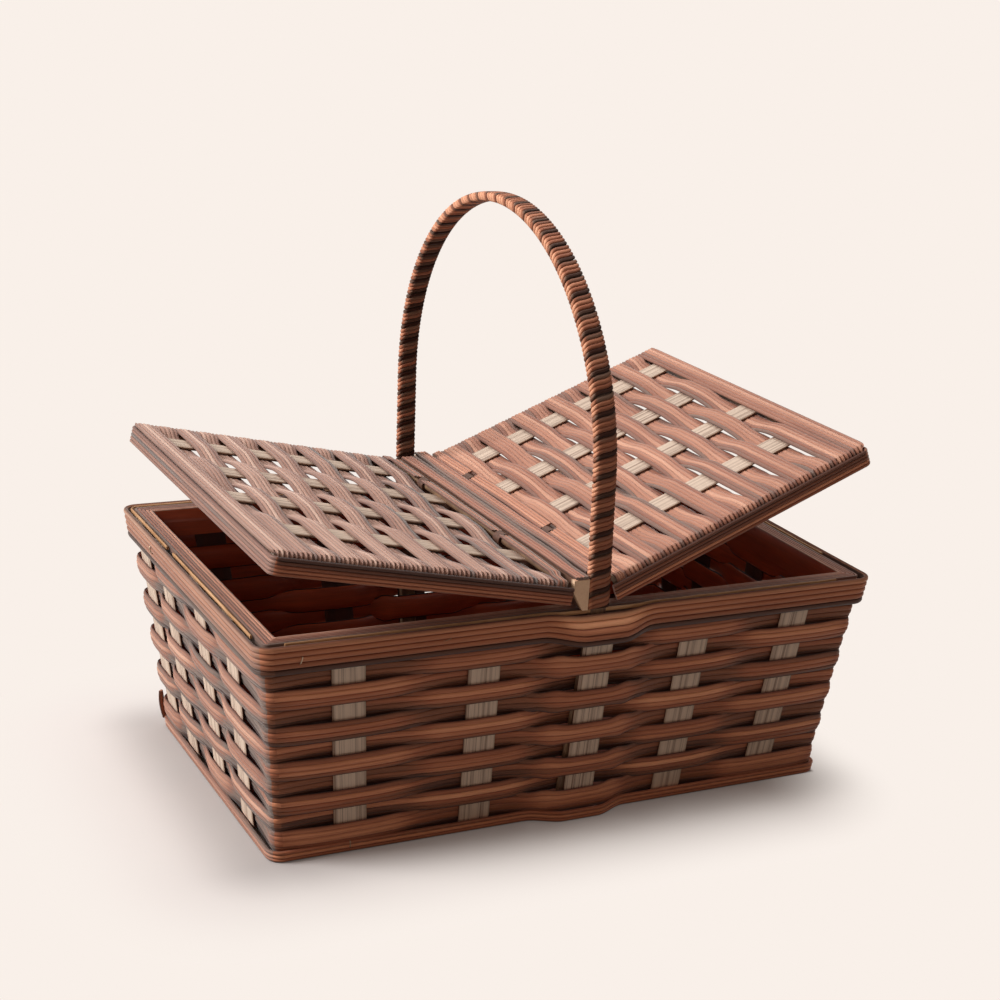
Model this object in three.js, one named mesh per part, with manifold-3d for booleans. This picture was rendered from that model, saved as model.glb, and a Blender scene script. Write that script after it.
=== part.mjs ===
// Picnic basket: a woven, tapered body with two hinged lids and a wrapped arch handle.
// Millimetres, +Z up. The origin is the middle of the footprint, on the surface that it stands on.
// X runs along the basket, Y across it. Both lids are shown part open, as their stiff ties hold them.
import * as THREE from "three";
import { mergeVertices } from "three/addons/utils/BufferGeometryUtils.js";
import Module from "manifold-3d";

// Clearance between pieces that touch
const FIT = 0.3;

// Body. The left wall leans out more than the right one, so the foot lies a little to the right.
const RIM_LENGTH = 400;
const RIM_WIDTH = 259;
const FOOT_LENGTH = 371;
const FOOT_WIDTH = 206.4;
const FOOT_SHIFT = 7;
const RIM_HEIGHT = 142;
const CORNER_RADIUS = 4.8;
const CORNER_LEAST_RADIUS = 1;

// Stakes: flat slats that run down one wall, across the base and up the other wall
const STAKE_WIDTH = 20;
const STAKE_THICKNESS = 2.4;
const STAKE_TOP_BELOW_RIM = 2.5;
const STAKE_BEND = 4;

// Where the stakes stand along a wall, unevenly as in hand work, from -1 at one corner to 1 at the other.
// The middle stake has another place on the back wall, because the handle is a little twisted.
const CROSS_STAKE_PLACES = [-0.749, -0.321, 0.043, 0.401, 0.764];
const MIDDLE_STAKE = 2;
const MIDDLE_STAKE_BACK_PLACE = -0.026;
const LONG_STAKE_PLACES = [-0.554, -0.082, 0.465, 0.831];

// Weavers: closed rings, each in front of one stake and behind the next, as many as the wall holds
const WEAVER_HEIGHT = 11.2;
const WEAVER_THICKNESS = 2.4;
const PLATEAU_MARGIN = 3;

// Rim hoops, outside and inside the stakes, and the band round the foot. The inner hoop is a thick batten,
// whose top makes a ledge round the opening.
const OUTER_RIM_HEIGHT = 18.1;
const OUTER_RIM_THICKNESS = 3.8;
const OUTER_RIM_RIBS = 5;
const INNER_RIM_HEIGHT = 17.2;
const INNER_RIM_THICKNESS = 10;
const INNER_RIM_BELOW_TOP = 0.4;
const FOOT_BAND_HEIGHT = 7.3;
const FOOT_BAND_THICKNESS = 2.8;
const FOOT_BAND_RIBS = 3;
const RIB_DEPTH = 0.8;
const BULGE_FLAT = 13;
const BULGE_RUN = 22;
const BULGE_CLEAR = 4;

// Floor panel, loose on the crossed stakes
const FLOOR_THICKNESS = 2.5;
const FLOOR_EDGE_GAP = 2;

// Handle: a flat strip with bevelled sides, bound round with one band
const HANDLE_RISE = 213.5;
const HANDLE_LEG = 76.6;
const HANDLE_LEG_OUT = 1.4;
const HANDLE_FOOT_X = 6.3;
const HANDLE_FOOT_BACK_X = -5.3;
const HANDLE_LEAN = 5.8;
const HANDLE_CORE_WIDTH = 11.5;
const HANDLE_CORE_FACE = 9.6;
const HANDLE_CORE_THICKNESS = 3.2;
const HANDLE_FOOT_ABOVE_BAND = 2;
const HANDLE_STEPS = 32;
const WRAP_WIDTH = 10.4;
const WRAP_THICKNESS = 1.1;
const WRAP_GAP = 1.1;
const WRAP_START = 0.8;

// Centre bar, which spans the rim beside the handle feet and carries the hinge loops
const BAR_HALF_WIDTH = 11.4;
const BAR_FOOT_HALF_WIDTH = 5;
const BAR_HEIGHT = 18.5;
const BAR_TAPER_HEIGHT = 11;
const BAR_PAST_LEG = 2.9;

// Hinges
const HINGE_PIN_RADIUS = 2.2;
const HINGE_PIN_SIDES = 8;
const LOOP_THICKNESS = 1.4;
const LOOP_WIDTH = 8;
const LOOP_TAIL = 11;
const LOOP_SIDES = 16;
const LOOP_AFTER_SLAT = [0, 2];

// Lids. They stop short of the rim's outer edge at the ends and stand out past it at the front and back.
const LID_END_INSET = 4.2;
const LID_SIDE_OVERHANG = 1.5;
const LID_DEPTH = 13.3;
const LID_TOP = 2;
const LEFT_LID_OPEN = 11.5;
const RIGHT_LID_OPEN = 22.2;
const LID_SLAT_PLACES = [-0.55, -0.115, 0.313, 0.748];
const LID_SLAT_WIDTH = 18;
const LID_SLAT_THICKNESS = 1.8;
const LID_BANDS = 13;
const LID_BAND_GAP = 0.6;
const LID_BAND_THICKNESS = 2.4;
const LID_BAND_TUCK = 8;
const LID_BAND_EASE = 0.45;
const LID_FRAME_RAIL = 4;
const LID_FRAME_BELOW = 0.8;
const LID_SIDE_BAND_HEIGHT = 10.4;
const LID_SIDE_BAND_THICKNESS = 2.4;
const LID_SIDE_BAND_RIBS = 4;
const LID_CORNER_RADIUS = 5;

// Finishes
const BAND = { color: 0x8c5a4a, roughness: 0.5, metalness: 0 };
const BAND_DARK = { color: 0x6e453a, roughness: 0.5, metalness: 0 };
const SLAT = { color: 0xcdb79c, roughness: 0.6, metalness: 0 };

const group = new THREE.Group();
const manifold = await Module();
manifold.setup();

function place(name, geometry, finish) {
  const mesh = new THREE.Mesh(geometry, new THREE.MeshStandardMaterial(finish));
  mesh.name = name;
  group.add(mesh);
}

function smooth(t) {
  const k = Math.min(1, Math.max(0, t));
  return k * k * (3 - 2 * k);
}

function mix(a, b, t) {
  return a + (b - a) * t;
}

// A solid through a row of sections, each a list of points in the same order round its outline.
// The outline is the flat shape of a section, used to close the two ends.
function loft(sections, outline) {
  const count = outline.length;
  const closed = sections.closed === true;
  const points = sections.flat();
  const faces = [];
  const steps = closed ? sections.length : sections.length - 1;
  for (let s = 0; s < steps; s++) {
    const here = s * count;
    const next = ((s + 1) % sections.length) * count;
    for (let i = 0; i < count; i++) {
      const j = (i + 1) % count;
      faces.push(here + i, next + i, next + j, here + i, next + j, here + j);
    }
  }
  if (!closed) {
    const flat = outline.map(([x, y]) => new THREE.Vector2(x, y));
    const turned = THREE.ShapeUtils.isClockWise(flat);
    const last = (sections.length - 1) * count;
    for (const [a, b, c] of THREE.ShapeUtils.triangulateShape(flat, [])) {
      if (turned) {
        faces.push(a, c, b, last + a, last + b, last + c);
      } else {
        faces.push(a, b, c, last + a, last + c, last + b);
      }
    }
  }
  const geometry = new THREE.BufferGeometry();
  geometry.setAttribute("position", new THREE.Float32BufferAttribute(points.flat(), 3));
  geometry.setIndex(facingOut(points, faces));
  geometry.computeVertexNormals();
  return geometry;
}

// Turns every face round where the solid they close would be inside out.
function facingOut(points, faces) {
  let volume = 0;
  for (let f = 0; f < faces.length; f += 3) {
    const a = new THREE.Vector3(...points[faces[f]]);
    const b = new THREE.Vector3(...points[faces[f + 1]]);
    const c = new THREE.Vector3(...points[faces[f + 2]]);
    volume += a.dot(b.cross(c));
  }
  return volume < 0 ? faces.reverse() : faces;
}

// manifold-3d solids from and to three.js geometry
function solid(geometry) {
  const bare = new THREE.BufferGeometry();
  bare.setAttribute("position", geometry.getAttribute("position"));
  bare.setIndex(geometry.index);
  const merged = mergeVertices(bare, 1e-4);
  return new manifold.Manifold(
    new manifold.Mesh({
      numProp: 3,
      vertProperties: new Float32Array(merged.attributes.position.array),
      triVerts: new Uint32Array(merged.index.array),
    }),
  );
}

function fromSolid(made) {
  const mesh = made.getMesh();
  const geometry = new THREE.BufferGeometry();
  geometry.setAttribute("position", new THREE.BufferAttribute(mesh.vertProperties, 3));
  geometry.setIndex(new THREE.BufferAttribute(mesh.triVerts, 1));
  return geometry;
}

function boxSolid(x0, x1, y0, y1, z0, z1) {
  const geometry = new THREE.BoxGeometry(Math.abs(x1 - x0), y1 - y0, z1 - z0);
  geometry.translate((x0 + x1) / 2, (y0 + y1) / 2, (z0 + z1) / 2);
  return solid(geometry);
}

// Walls. The middle surface of the stakes leans out from the foot to the rim.
const HALF_STAKE = STAKE_THICKNESS / 2;
const BASE_LIFT = HALF_STAKE + STAKE_THICKNESS + 2 * FIT;
const HOOP_INNER = HALF_STAKE + FIT;
const RIM_HALF_X = RIM_LENGTH / 2 - OUTER_RIM_THICKNESS - HOOP_INNER;
const RIM_HALF_Y = RIM_WIDTH / 2 - OUTER_RIM_THICKNESS - HOOP_INNER;
const FOOT_HALF_X = FOOT_LENGTH / 2 - FOOT_BAND_THICKNESS - HOOP_INNER;
const FOOT_HALF_Y = FOOT_WIDTH / 2 - FOOT_BAND_THICKNESS - HOOP_INNER;
const CROSS_STAKE_X = CROSS_STAKE_PLACES.map((share) => share * RIM_HALF_X);
const MIDDLE_STAKE_BACK_X = MIDDLE_STAKE_BACK_PLACE * RIM_HALF_X;
const LONG_STAKE_Y = LONG_STAKE_PLACES.map((share) => share * RIM_HALF_Y);

function halfX(z) {
  return mix(FOOT_HALF_X, RIM_HALF_X, z / RIM_HEIGHT);
}

function halfY(z) {
  return mix(FOOT_HALF_Y, RIM_HALF_Y, z / RIM_HEIGHT);
}

// How far the middle of the body lies to the right at a height
function shiftX(z) {
  return FOOT_SHIFT * (1 - z / RIM_HEIGHT);
}

// A place on a wall is given at the rim and follows the taper down. Each returns a function of the height
// and of the distance out from the middle surface of the wall.
const wall = {
  front: (at) => (z, out) => [shiftX(z) + (at * halfX(z)) / RIM_HALF_X, -halfY(z) - out, z],
  back: (at) => (z, out) => [shiftX(z) + (at * halfX(z)) / RIM_HALF_X, halfY(z) + out, z],
  right: (at) => (z, out) => [shiftX(z) + halfX(z) + out, (at * halfY(z)) / RIM_HALF_Y, z],
  left: (at) => (z, out) => [shiftX(z) - halfX(z) - out, (at * halfY(z)) / RIM_HALF_Y, z],
};

function corner(signX, signY, degrees) {
  const turn = THREE.MathUtils.degToRad(degrees);
  return (z, out) => {
    const radius = Math.max(CORNER_RADIUS + out, CORNER_LEAST_RADIUS);
    const inset = out - radius;
    return [
      shiftX(z) + signX * (halfX(z) + inset) + radius * Math.cos(turn),
      signY * (halfY(z) + inset) + radius * Math.sin(turn),
      z,
    ];
  };
}

const SIDES = ["front", "right", "back", "left"];
const CORNER_OF = { front: [1, -1, -90], right: [1, 1, 0], back: [-1, 1, 90], left: [-1, -1, 180] };
const RUN = { front: 1, right: 1, back: -1, left: -1 };

function cornerAfter(side, steps) {
  const [signX, signY, start] = CORNER_OF[side];
  return Array.from({ length: steps + 1 }, (_, i) => corner(signX, signY, start + (90 * i) / steps));
}

// The handle's feet stand between the stakes and the inner weavers, so the middle stake stands out.
const HANDLE_SPAN = 2 * (RIM_HALF_Y + HANDLE_LEG_OUT);
const MIDDLE_STAKE_OUT = HANDLE_LEG_OUT + HANDLE_CORE_THICKNESS / 2 + FIT + HALF_STAKE;
const WEAVER_OUT = HALF_STAKE + FIT + WEAVER_THICKNESS / 2;
const MIDDLE_WEAVER_IN = HANDLE_LEG_OUT - HANDLE_CORE_THICKNESS / 2 - FIT - WEAVER_THICKNESS / 2;
const BULGE_OUT = MIDDLE_STAKE_OUT + BULGE_CLEAR;

// The rows share the height between the foot band and the outer rim.
const WEAVE_LOW = FOOT_BAND_HEIGHT + FIT;
const WEAVE_HIGH = RIM_HEIGHT - OUTER_RIM_HEIGHT - FIT;
const WEAVER_ROWS = Math.floor((WEAVE_HIGH - WEAVE_LOW) / (WEAVER_HEIGHT + FIT));
const WEAVER_PITCH = (WEAVE_HIGH - WEAVE_LOW) / WEAVER_ROWS;

// The stakes in the order in which a weaver meets them, starting at the front left corner
function stakesRound() {
  const crossing = (side, x, k) => ({ side, at: x, middle: k === MIDDLE_STAKE });
  const front = CROSS_STAKE_X.map((x, k) => crossing("front", x, k));
  const right = LONG_STAKE_Y.map((y) => ({ side: "right", at: y, middle: false }));
  const backX = CROSS_STAKE_X.map((x, k) => (k === MIDDLE_STAKE ? MIDDLE_STAKE_BACK_X : x));
  const back = backX.map((x, k) => crossing("back", x, k)).reverse();
  const left = LONG_STAKE_Y.map((y) => ({ side: "left", at: y, middle: false })).reverse();
  return [...front, ...right, ...back, ...left];
}

// A weaver keeps clear of a stake over its width, at the foot as well, where the wall is narrower.
function plateau(side) {
  const taper = side === "front" || side === "back" ? FOOT_HALF_X / RIM_HALF_X : FOOT_HALF_Y / RIM_HALF_Y;
  return (STAKE_WIDTH / 2 + PLATEAU_MARGIN / 4) / taper;
}

function weaverStations(row) {
  const stakes = stakesRound();
  const outs = stakes.map((stake, j) => {
    const behind = (row + j) % 2 === 1;
    if (stake.middle) return behind ? MIDDLE_WEAVER_IN : MIDDLE_STAKE_OUT + WEAVER_OUT;
    return behind ? -WEAVER_OUT : WEAVER_OUT;
  });
  const stations = [];
  stakes.forEach((stake, j) => {
    const next = stakes[(j + 1) % stakes.length];
    const from = outs[j];
    const to = outs[(j + 1) % stakes.length];
    const run = RUN[stake.side];
    const half = plateau(stake.side);
    stations.push({ on: wall[stake.side](stake.at - run * half), out: from });
    stations.push({ on: wall[stake.side](stake.at + run * half), out: from });
    if (next.side === stake.side) {
      const start = stake.at + run * half;
      const end = next.at - run * half;
      for (const t of [0.3, 0.7]) {
        stations.push({ on: wall[stake.side](mix(start, end, t)), out: mix(from, to, smooth(t)) });
      }
    } else {
      cornerAfter(stake.side, 2).forEach((on, i) => {
        stations.push({ on, out: mix(from, to, smooth(0.4 + 0.1 * i)) });
      });
    }
  });
  return stations;
}

function weaver(row) {
  const middle = WEAVE_HIGH - WEAVER_PITCH * (row - 0.5);
  const low = middle - WEAVER_HEIGHT / 2;
  const high = middle + WEAVER_HEIGHT / 2;
  const half = WEAVER_THICKNESS / 2;
  const outline = [[-half, low], [half, low], [half, high], [-half, high]];
  const sections = weaverStations(row).map(({ on, out }) => outline.map(([o, z]) => on(z, out + o)));
  sections.closed = true;
  return loft(sections, outline);
}

// A band's outline: flat inside, ribbed outside
function ribbedOutline(low, high, thickness, ribs) {
  const outline = [[0, high], [0, low]];
  for (let r = 0; r < ribs; r++) {
    const z = mix(low, high, r / ribs);
    outline.push([thickness - RIB_DEPTH, z], [thickness, z + (high - low) / ribs / 2]);
  }
  outline.push([thickness - RIB_DEPTH, high]);
  return outline;
}

// A hoop round the body, standing out round the middle stakes by the bulge
function hoop(outline, inner, bulge) {
  const stations = [];
  const middleX = { front: CROSS_STAKE_X[MIDDLE_STAKE], back: MIDDLE_STAKE_BACK_X };
  for (const side of SIDES) {
    if (side in middleX && bulge > 0) {
      for (const [reach, share] of [[1, 0], [0.6, 0.35], [0.25, 0.85], [0, 1]]) {
        const at = middleX[side] - RUN[side] * (BULGE_FLAT + BULGE_RUN * reach);
        stations.push({ on: wall[side](at), out: bulge * share });
      }
      for (const [reach, share] of [[0, 1], [0.25, 0.85], [0.6, 0.35], [1, 0]]) {
        const at = middleX[side] + RUN[side] * (BULGE_FLAT + BULGE_RUN * reach);
        stations.push({ on: wall[side](at), out: bulge * share });
      }
    }
    cornerAfter(side, 3).forEach((on) => stations.push({ on, out: 0 }));
  }
  const sections = stations.map(({ on, out }) => outline.map(([o, z]) => on(z, inner + out + o)));
  sections.closed = true;
  return loft(sections, outline);
}

function outerRim() {
  const low = RIM_HEIGHT - OUTER_RIM_HEIGHT;
  return hoop(
    ribbedOutline(low, RIM_HEIGHT, OUTER_RIM_THICKNESS, OUTER_RIM_RIBS),
    HOOP_INNER,
    BULGE_OUT,
  );
}

function innerRim() {
  const high = RIM_HEIGHT - INNER_RIM_BELOW_TOP;
  const low = high - INNER_RIM_HEIGHT;
  const outline = [[0, low], [INNER_RIM_THICKNESS, low], [INNER_RIM_THICKNESS, high], [0, high]];
  return hoop(outline, -HOOP_INNER - INNER_RIM_THICKNESS, 0);
}

function footBand() {
  return hoop(
    ribbedOutline(0, FOOT_BAND_HEIGHT, FOOT_BAND_THICKNESS, FOOT_BAND_RIBS),
    HOOP_INNER,
    BULGE_OUT,
  );
}

// The side view of a stake: down one wall, round a bend, over the base with any waves, and up the other wall.
// Each step has its place along, its height and the direction of its outer face. The shift is the body's.
function stakeProfile(half, shift, out, waves) {
  const top = RIM_HEIGHT - STAKE_TOP_BELOW_RIM;
  const bendTop = BASE_LIFT + STAKE_BEND;
  const turn = half(BASE_LIFT) + out;
  const side = [{ p: half(top) + out, z: top }, { p: half(bendTop) + out, z: bendTop }];
  for (const t of [0.25, 0.5, 0.75, 1]) {
    side.push({
      p: (1 - t) ** 2 * (half(bendTop) + out) + 2 * t * (1 - t) * turn + t ** 2 * (turn - STAKE_BEND),
      z: (1 - t) ** 2 * bendTop + (2 * t * (1 - t) + t ** 2) * BASE_LIFT,
    });
  }
  const start = side.map(({ p, z }) => ({ p: -p, z }));
  const line = [...start, ...waves, ...side.reverse()].map(({ p, z }) => ({ p: p + shift(z), z }));
  return line.map((step, i) => {
    const before = line[Math.max(0, i - 1)];
    const after = line[Math.min(line.length - 1, i + 1)];
    const dp = after.p - before.p;
    const dz = after.z - before.z;
    const length = Math.hypot(dp, dz);
    return { ...step, nx: dz / length, nz: -dp / length };
  });
}

function crossStakeX(k, p) {
  const atFront = CROSS_STAKE_X[k];
  const atBack = k === MIDDLE_STAKE ? MIDDLE_STAKE_BACK_X : atFront;
  const share = Math.min(1, Math.max(0, (p + FOOT_HALF_Y) / (2 * FOOT_HALF_Y)));
  return mix(atFront, atBack, share);
}

function crossStake(k) {
  const out = k === MIDDLE_STAKE ? MIDDLE_STAKE_OUT : 0;
  const half = STAKE_WIDTH / 2;
  const sections = stakeProfile(halfY, () => 0, out, []).map(({ p, z, nx, nz }) => {
    const x = shiftX(z) + (crossStakeX(k, p) * halfX(z)) / RIM_HALF_X;
    return [[-half, -1], [half, -1], [half, 1], [-half, 1]].map(([w, t]) => [
      x + w,
      p + t * nx * HALF_STAKE,
      z + t * nz * HALF_STAKE,
    ]);
  });
  return loft(sections, [[-half, -1], [half, -1], [half, 1], [-half, 1]]);
}

// A long stake rises over one cross stake and dips under the next.
function longStakeWaves(j) {
  const taper = halfX(BASE_LIFT) / RIM_HALF_X;
  const y = (LONG_STAKE_Y[j] * halfY(BASE_LIFT)) / RIM_HALF_Y;
  const half = STAKE_WIDTH / 2 + PLATEAU_MARGIN;
  const waves = [];
  CROSS_STAKE_X.forEach((_, k) => {
    const x = crossStakeX(k, y) * taper;
    const z = BASE_LIFT + (STAKE_THICKNESS + FIT) * ((j + k) % 2 === 0 ? 1 : -1);
    waves.push({ p: x - half, z }, { p: x + half, z });
  });
  return waves;
}

function longStake(j) {
  const half = STAKE_WIDTH / 2;
  const sections = stakeProfile(halfX, shiftX, 0, longStakeWaves(j)).map(({ p, z, nx, nz }) => {
    const y = (LONG_STAKE_Y[j] * halfY(z)) / RIM_HALF_Y;
    return [[-half, -1], [half, -1], [half, 1], [-half, 1]].map(([w, t]) => [
      p + t * nx * HALF_STAKE,
      y + w,
      z + t * nz * HALF_STAKE,
    ]);
  });
  return loft(sections, [[-half, -1], [half, -1], [half, 1], [-half, 1]]);
}

function floorPanel() {
  const low = BASE_LIFT + STAKE_THICKNESS + FIT + HALF_STAKE + FIT;
  const inset = STAKE_BEND + HALF_STAKE + FLOOR_EDGE_GAP;
  const x = FOOT_HALF_X - inset;
  const y = FOOT_HALF_Y - inset;
  const shape = new THREE.Shape();
  shape.moveTo(-x + CORNER_RADIUS, -y);
  shape.lineTo(x - CORNER_RADIUS, -y);
  shape.absarc(x - CORNER_RADIUS, -y + CORNER_RADIUS, CORNER_RADIUS, -Math.PI / 2, 0);
  shape.absarc(x - CORNER_RADIUS, y - CORNER_RADIUS, CORNER_RADIUS, 0, Math.PI / 2);
  shape.absarc(-x + CORNER_RADIUS, y - CORNER_RADIUS, CORNER_RADIUS, Math.PI / 2, Math.PI);
  shape.absarc(-x + CORNER_RADIUS, -y + CORNER_RADIUS, CORNER_RADIUS, Math.PI, Math.PI * 1.5);
  const panel = new THREE.ExtrudeGeometry(shape, {
    depth: FLOOR_THICKNESS,
    bevelEnabled: false,
    curveSegments: 4,
  });
  return panel.translate(shiftX(low), 0, low);
}

// Handle. Its middle line stands straight up from the rim and closes in half an ellipse.
function handleX(y, z) {
  const twist = (HANDLE_FOOT_X - HANDLE_FOOT_BACK_X) / HANDLE_SPAN;
  const middle = (HANDLE_FOOT_X + HANDLE_FOOT_BACK_X) / 2;
  const above = Math.max(0, z - RIM_HEIGHT) / HANDLE_RISE;
  return middle - twist * y - HANDLE_LEAN * above;
}

function handleLine(steps) {
  const spring = RIM_HEIGHT + HANDLE_LEG;
  const half = HANDLE_SPAN / 2;
  const line = [[-half, RIM_HEIGHT]];
  for (let i = 0; i <= steps; i++) {
    const turn = (Math.PI * i) / steps;
    line.push([-half * Math.cos(turn), spring + (HANDLE_RISE - HANDLE_LEG) * Math.sin(turn)]);
  }
  line.push([half, RIM_HEIGHT]);
  return line.map(([y, z]) => new THREE.Vector3(handleX(y, z), y, z));
}

function legFoot(side) {
  const z = FOOT_BAND_HEIGHT + HANDLE_FOOT_ABOVE_BAND;
  const x = side < 0 ? HANDLE_FOOT_X : HANDLE_FOOT_BACK_X;
  return new THREE.Vector3(x, side * (halfY(z) + HANDLE_LEG_OUT), z);
}

// The bevelled outline of the core, or of the band round it, as width and thickness
function handleOutline(grow) {
  const side = HANDLE_CORE_WIDTH / 2 + grow * 1.1;
  const face = HANDLE_CORE_FACE / 2 + grow * 0.65;
  const half = HANDLE_CORE_THICKNESS / 2 + grow;
  return [[side, 0], [face, half], [-face, half], [-side, 0], [-face, -half], [face, -half]];
}

function across(tangent) {
  const wide = new THREE.Vector3(1, 0, 0).addScaledVector(tangent, -tangent.x).normalize();
  return { wide, thick: new THREE.Vector3().crossVectors(tangent, wide) };
}

function handleCore() {
  const line = [legFoot(-1), ...handleLine(HANDLE_STEPS), legFoot(1)];
  const sections = line.map((point, i) => {
    const before = line[Math.max(0, i - 1)];
    const after = line[Math.min(line.length - 1, i + 1)];
    const { wide, thick } = across(after.clone().sub(before).normalize());
    return handleOutline(0).map(([w, t]) =>
      point.clone().addScaledVector(wide, w).addScaledVector(thick, t).toArray(),
    );
  });
  return loft(sections, handleOutline(0));
}

// A place along the handle's middle line, by its distance from the front end of the line
function alongHandle(line, reach, distance) {
  let i = 1;
  while (i < line.length - 1 && reach[i] < distance) i++;
  const t = (distance - reach[i - 1]) / (reach[i] - reach[i - 1]);
  const point = line[i - 1].clone().lerp(line[i], t);
  const here = line[i].clone().sub(line[i - 1]).normalize();
  const near = t < 0.5 ? Math.max(1, i - 1) : Math.min(line.length - 1, i + 1);
  const other = line[near].clone().sub(line[near - 1]).normalize();
  const tangent = here.lerp(other, Math.abs(t - 0.5)).normalize();
  return { point, ...across(tangent) };
}

function handleWrap() {
  const pitch = WRAP_WIDTH + WRAP_GAP;
  const line = handleLine(2 * HANDLE_STEPS);
  const reach = [0];
  for (let i = 1; i < line.length; i++) reach.push(reach[i - 1] + line[i].distanceTo(line[i - 1]));
  const inner = handleOutline(FIT);
  const outer = handleOutline(FIT + WRAP_THICKNESS);
  const sides = inner.length;
  const first = WRAP_START + WRAP_WIDTH / 2;
  const travel = reach[reach.length - 1] - 2 * first;
  const steps = Math.floor((travel / pitch) * sides);
  const sections = [];
  for (let step = 0; step <= steps; step++) {
    const middle = first + (pitch * step) / sides;
    const low = alongHandle(line, reach, middle - WRAP_WIDTH / 2);
    const high = alongHandle(line, reach, middle + WRAP_WIDTH / 2);
    const at = ({ point, wide, thick }, [w, t]) =>
      point.clone().addScaledVector(wide, w).addScaledVector(thick, t).toArray();
    const k = step % sides;
    sections.push([at(low, inner[k]), at(low, outer[k]), at(high, outer[k]), at(high, inner[k])]);
  }
  let least = Infinity;
  for (let step = 0; step + sides < sections.length; step++) {
    for (const [mine, theirs] of [[2, 1], [3, 0]]) {
      const a = new THREE.Vector3(...sections[step][mine]);
      const b = new THREE.Vector3(...sections[step + sides][theirs]);
      least = Math.min(least, a.distanceTo(b));
    }
  }
  const turns = (steps / sides).toFixed(1);
  console.log(`handle_wrap: ${turns} turns, least gap to itself ${least.toFixed(2)} mm`);
  return loft(sections, [[0, 0], [1, 0], [1, 1], [0, 1]]);
}

// Centre bar: a batten with a tapered underside, cut away at the handle feet and for the loop tails
const BAR_LOW = RIM_HEIGHT + FIT;
const LOOP_INNER = HINGE_PIN_RADIUS + FIT + 0.1;
const LOOP_OUTER = LOOP_INNER + LOOP_THICKNESS;
const HINGE_X = BAR_HALF_WIDTH + LOOP_OUTER + 2 * FIT;
const HINGE_Z = BAR_LOW + BAR_HEIGHT - LID_TOP;
const LID_HALF_WIDTH = RIM_WIDTH / 2 + LID_SIDE_OVERHANG;
const LID_SLAT_Y = LID_SLAT_PLACES.map((share) => share * LID_HALF_WIDTH);
const LOOP_Y = LOOP_AFTER_SLAT.map((i) => (LID_SLAT_Y[i] + LID_SLAT_Y[i + 1]) / 2);

function centreBar() {
  const high = BAR_LOW + BAR_HEIGHT;
  const shoulder = BAR_LOW + BAR_TAPER_HEIGHT;
  const outline = [
    [-BAR_FOOT_HALF_WIDTH, BAR_LOW],
    [BAR_FOOT_HALF_WIDTH, BAR_LOW],
    [BAR_HALF_WIDTH, shoulder],
    [BAR_HALF_WIDTH, high],
    [-BAR_HALF_WIDTH, high],
    [-BAR_HALF_WIDTH, shoulder],
  ];
  const reachY = HANDLE_SPAN / 2 + BAR_PAST_LEG;
  const ends = [-reachY, reachY];
  let bar = solid(loft(ends.map((y) => outline.map(([x, z]) => [x, y, z])), outline));
  const wrapped = handleOutline(FIT + WRAP_THICKNESS);
  const clearX = wrapped[0][0] + 2 * FIT;
  const clearY = HANDLE_SPAN / 2 - wrapped[1][1] - FIT;
  const past = 2 * reachY;
  const frontCut = boxSolid(HANDLE_FOOT_X - clearX, past, -past, -clearY, 0, 2 * high);
  const backCut = boxSolid(-past, HANDLE_FOOT_BACK_X + clearX, clearY, past, 0, 2 * high);
  bar = bar.subtract(frontCut).subtract(backCut);
  for (const side of [-1, 1]) {
    for (const y of LOOP_Y) {
      const low = HINGE_Z - LOOP_OUTER - FIT;
      const top = HINGE_Z - LOOP_INNER + FIT;
      const reach = [HINGE_X - LOOP_TAIL - FIT, HINGE_X].map((x) => side * x);
      const wide = LOOP_WIDTH / 2 + FIT;
      bar = bar.subtract(boxSolid(...reach, y - wide, y + wide, low, top));
    }
  }
  return fromSolid(bar);
}

// A hinge loop: a ring round the lid's hinge rod, with a tail that runs into the bar
function hingeLoop(side, y) {
  const shape = new THREE.Shape();
  shape.absarc(0, 0, LOOP_OUTER, 0, Math.PI * 2);
  const bore = new THREE.Path();
  bore.absarc(0, 0, LOOP_INNER, 0, Math.PI * 2);
  shape.holes.push(bore);
  const ring = new THREE.ExtrudeGeometry(shape, {
    depth: LOOP_WIDTH,
    bevelEnabled: false,
    curveSegments: LOOP_SIDES,
  });
  ring.rotateX(Math.PI / 2);
  ring.translate(side * HINGE_X, y + LOOP_WIDTH / 2, HINGE_Z);
  const tailEnds = [HINGE_X - LOOP_TAIL, HINGE_X].map((x) => side * x);
  const tail = boxSolid(
    ...tailEnds,
    y - LOOP_WIDTH / 2,
    y + LOOP_WIDTH / 2,
    HINGE_Z - LOOP_OUTER,
    HINGE_Z - LOOP_INNER,
  );
  return fromSolid(solid(ring).add(tail));
}

// Lids. A lid is drawn closed and level, with the hinge axis at 0, its length along side * X.
const LID_FRAME_TOP = LID_TOP - LID_BAND_THICKNESS - FIT;
const LID_LOW = LID_TOP - LID_DEPTH;
const LID_LENGTH = RIM_LENGTH / 2 - LID_END_INSET - HINGE_X;
const LID_SIDE_INNER = LID_HALF_WIDTH - LID_SIDE_BAND_THICKNESS;
const LID_TUCK_OUTER = LID_SIDE_INNER - FIT;
const LID_RAIL_OUTER = LID_TUCK_OUTER - LID_BAND_THICKNESS - FIT;
const LID_END_RAIL_OUTER = LID_LENGTH - LID_SIDE_BAND_THICKNESS - FIT;

function openLid(geometry, side, degrees) {
  geometry.rotateY(-side * THREE.MathUtils.degToRad(degrees));
  return geometry.translate(side * HINGE_X, 0, HINGE_Z);
}

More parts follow.
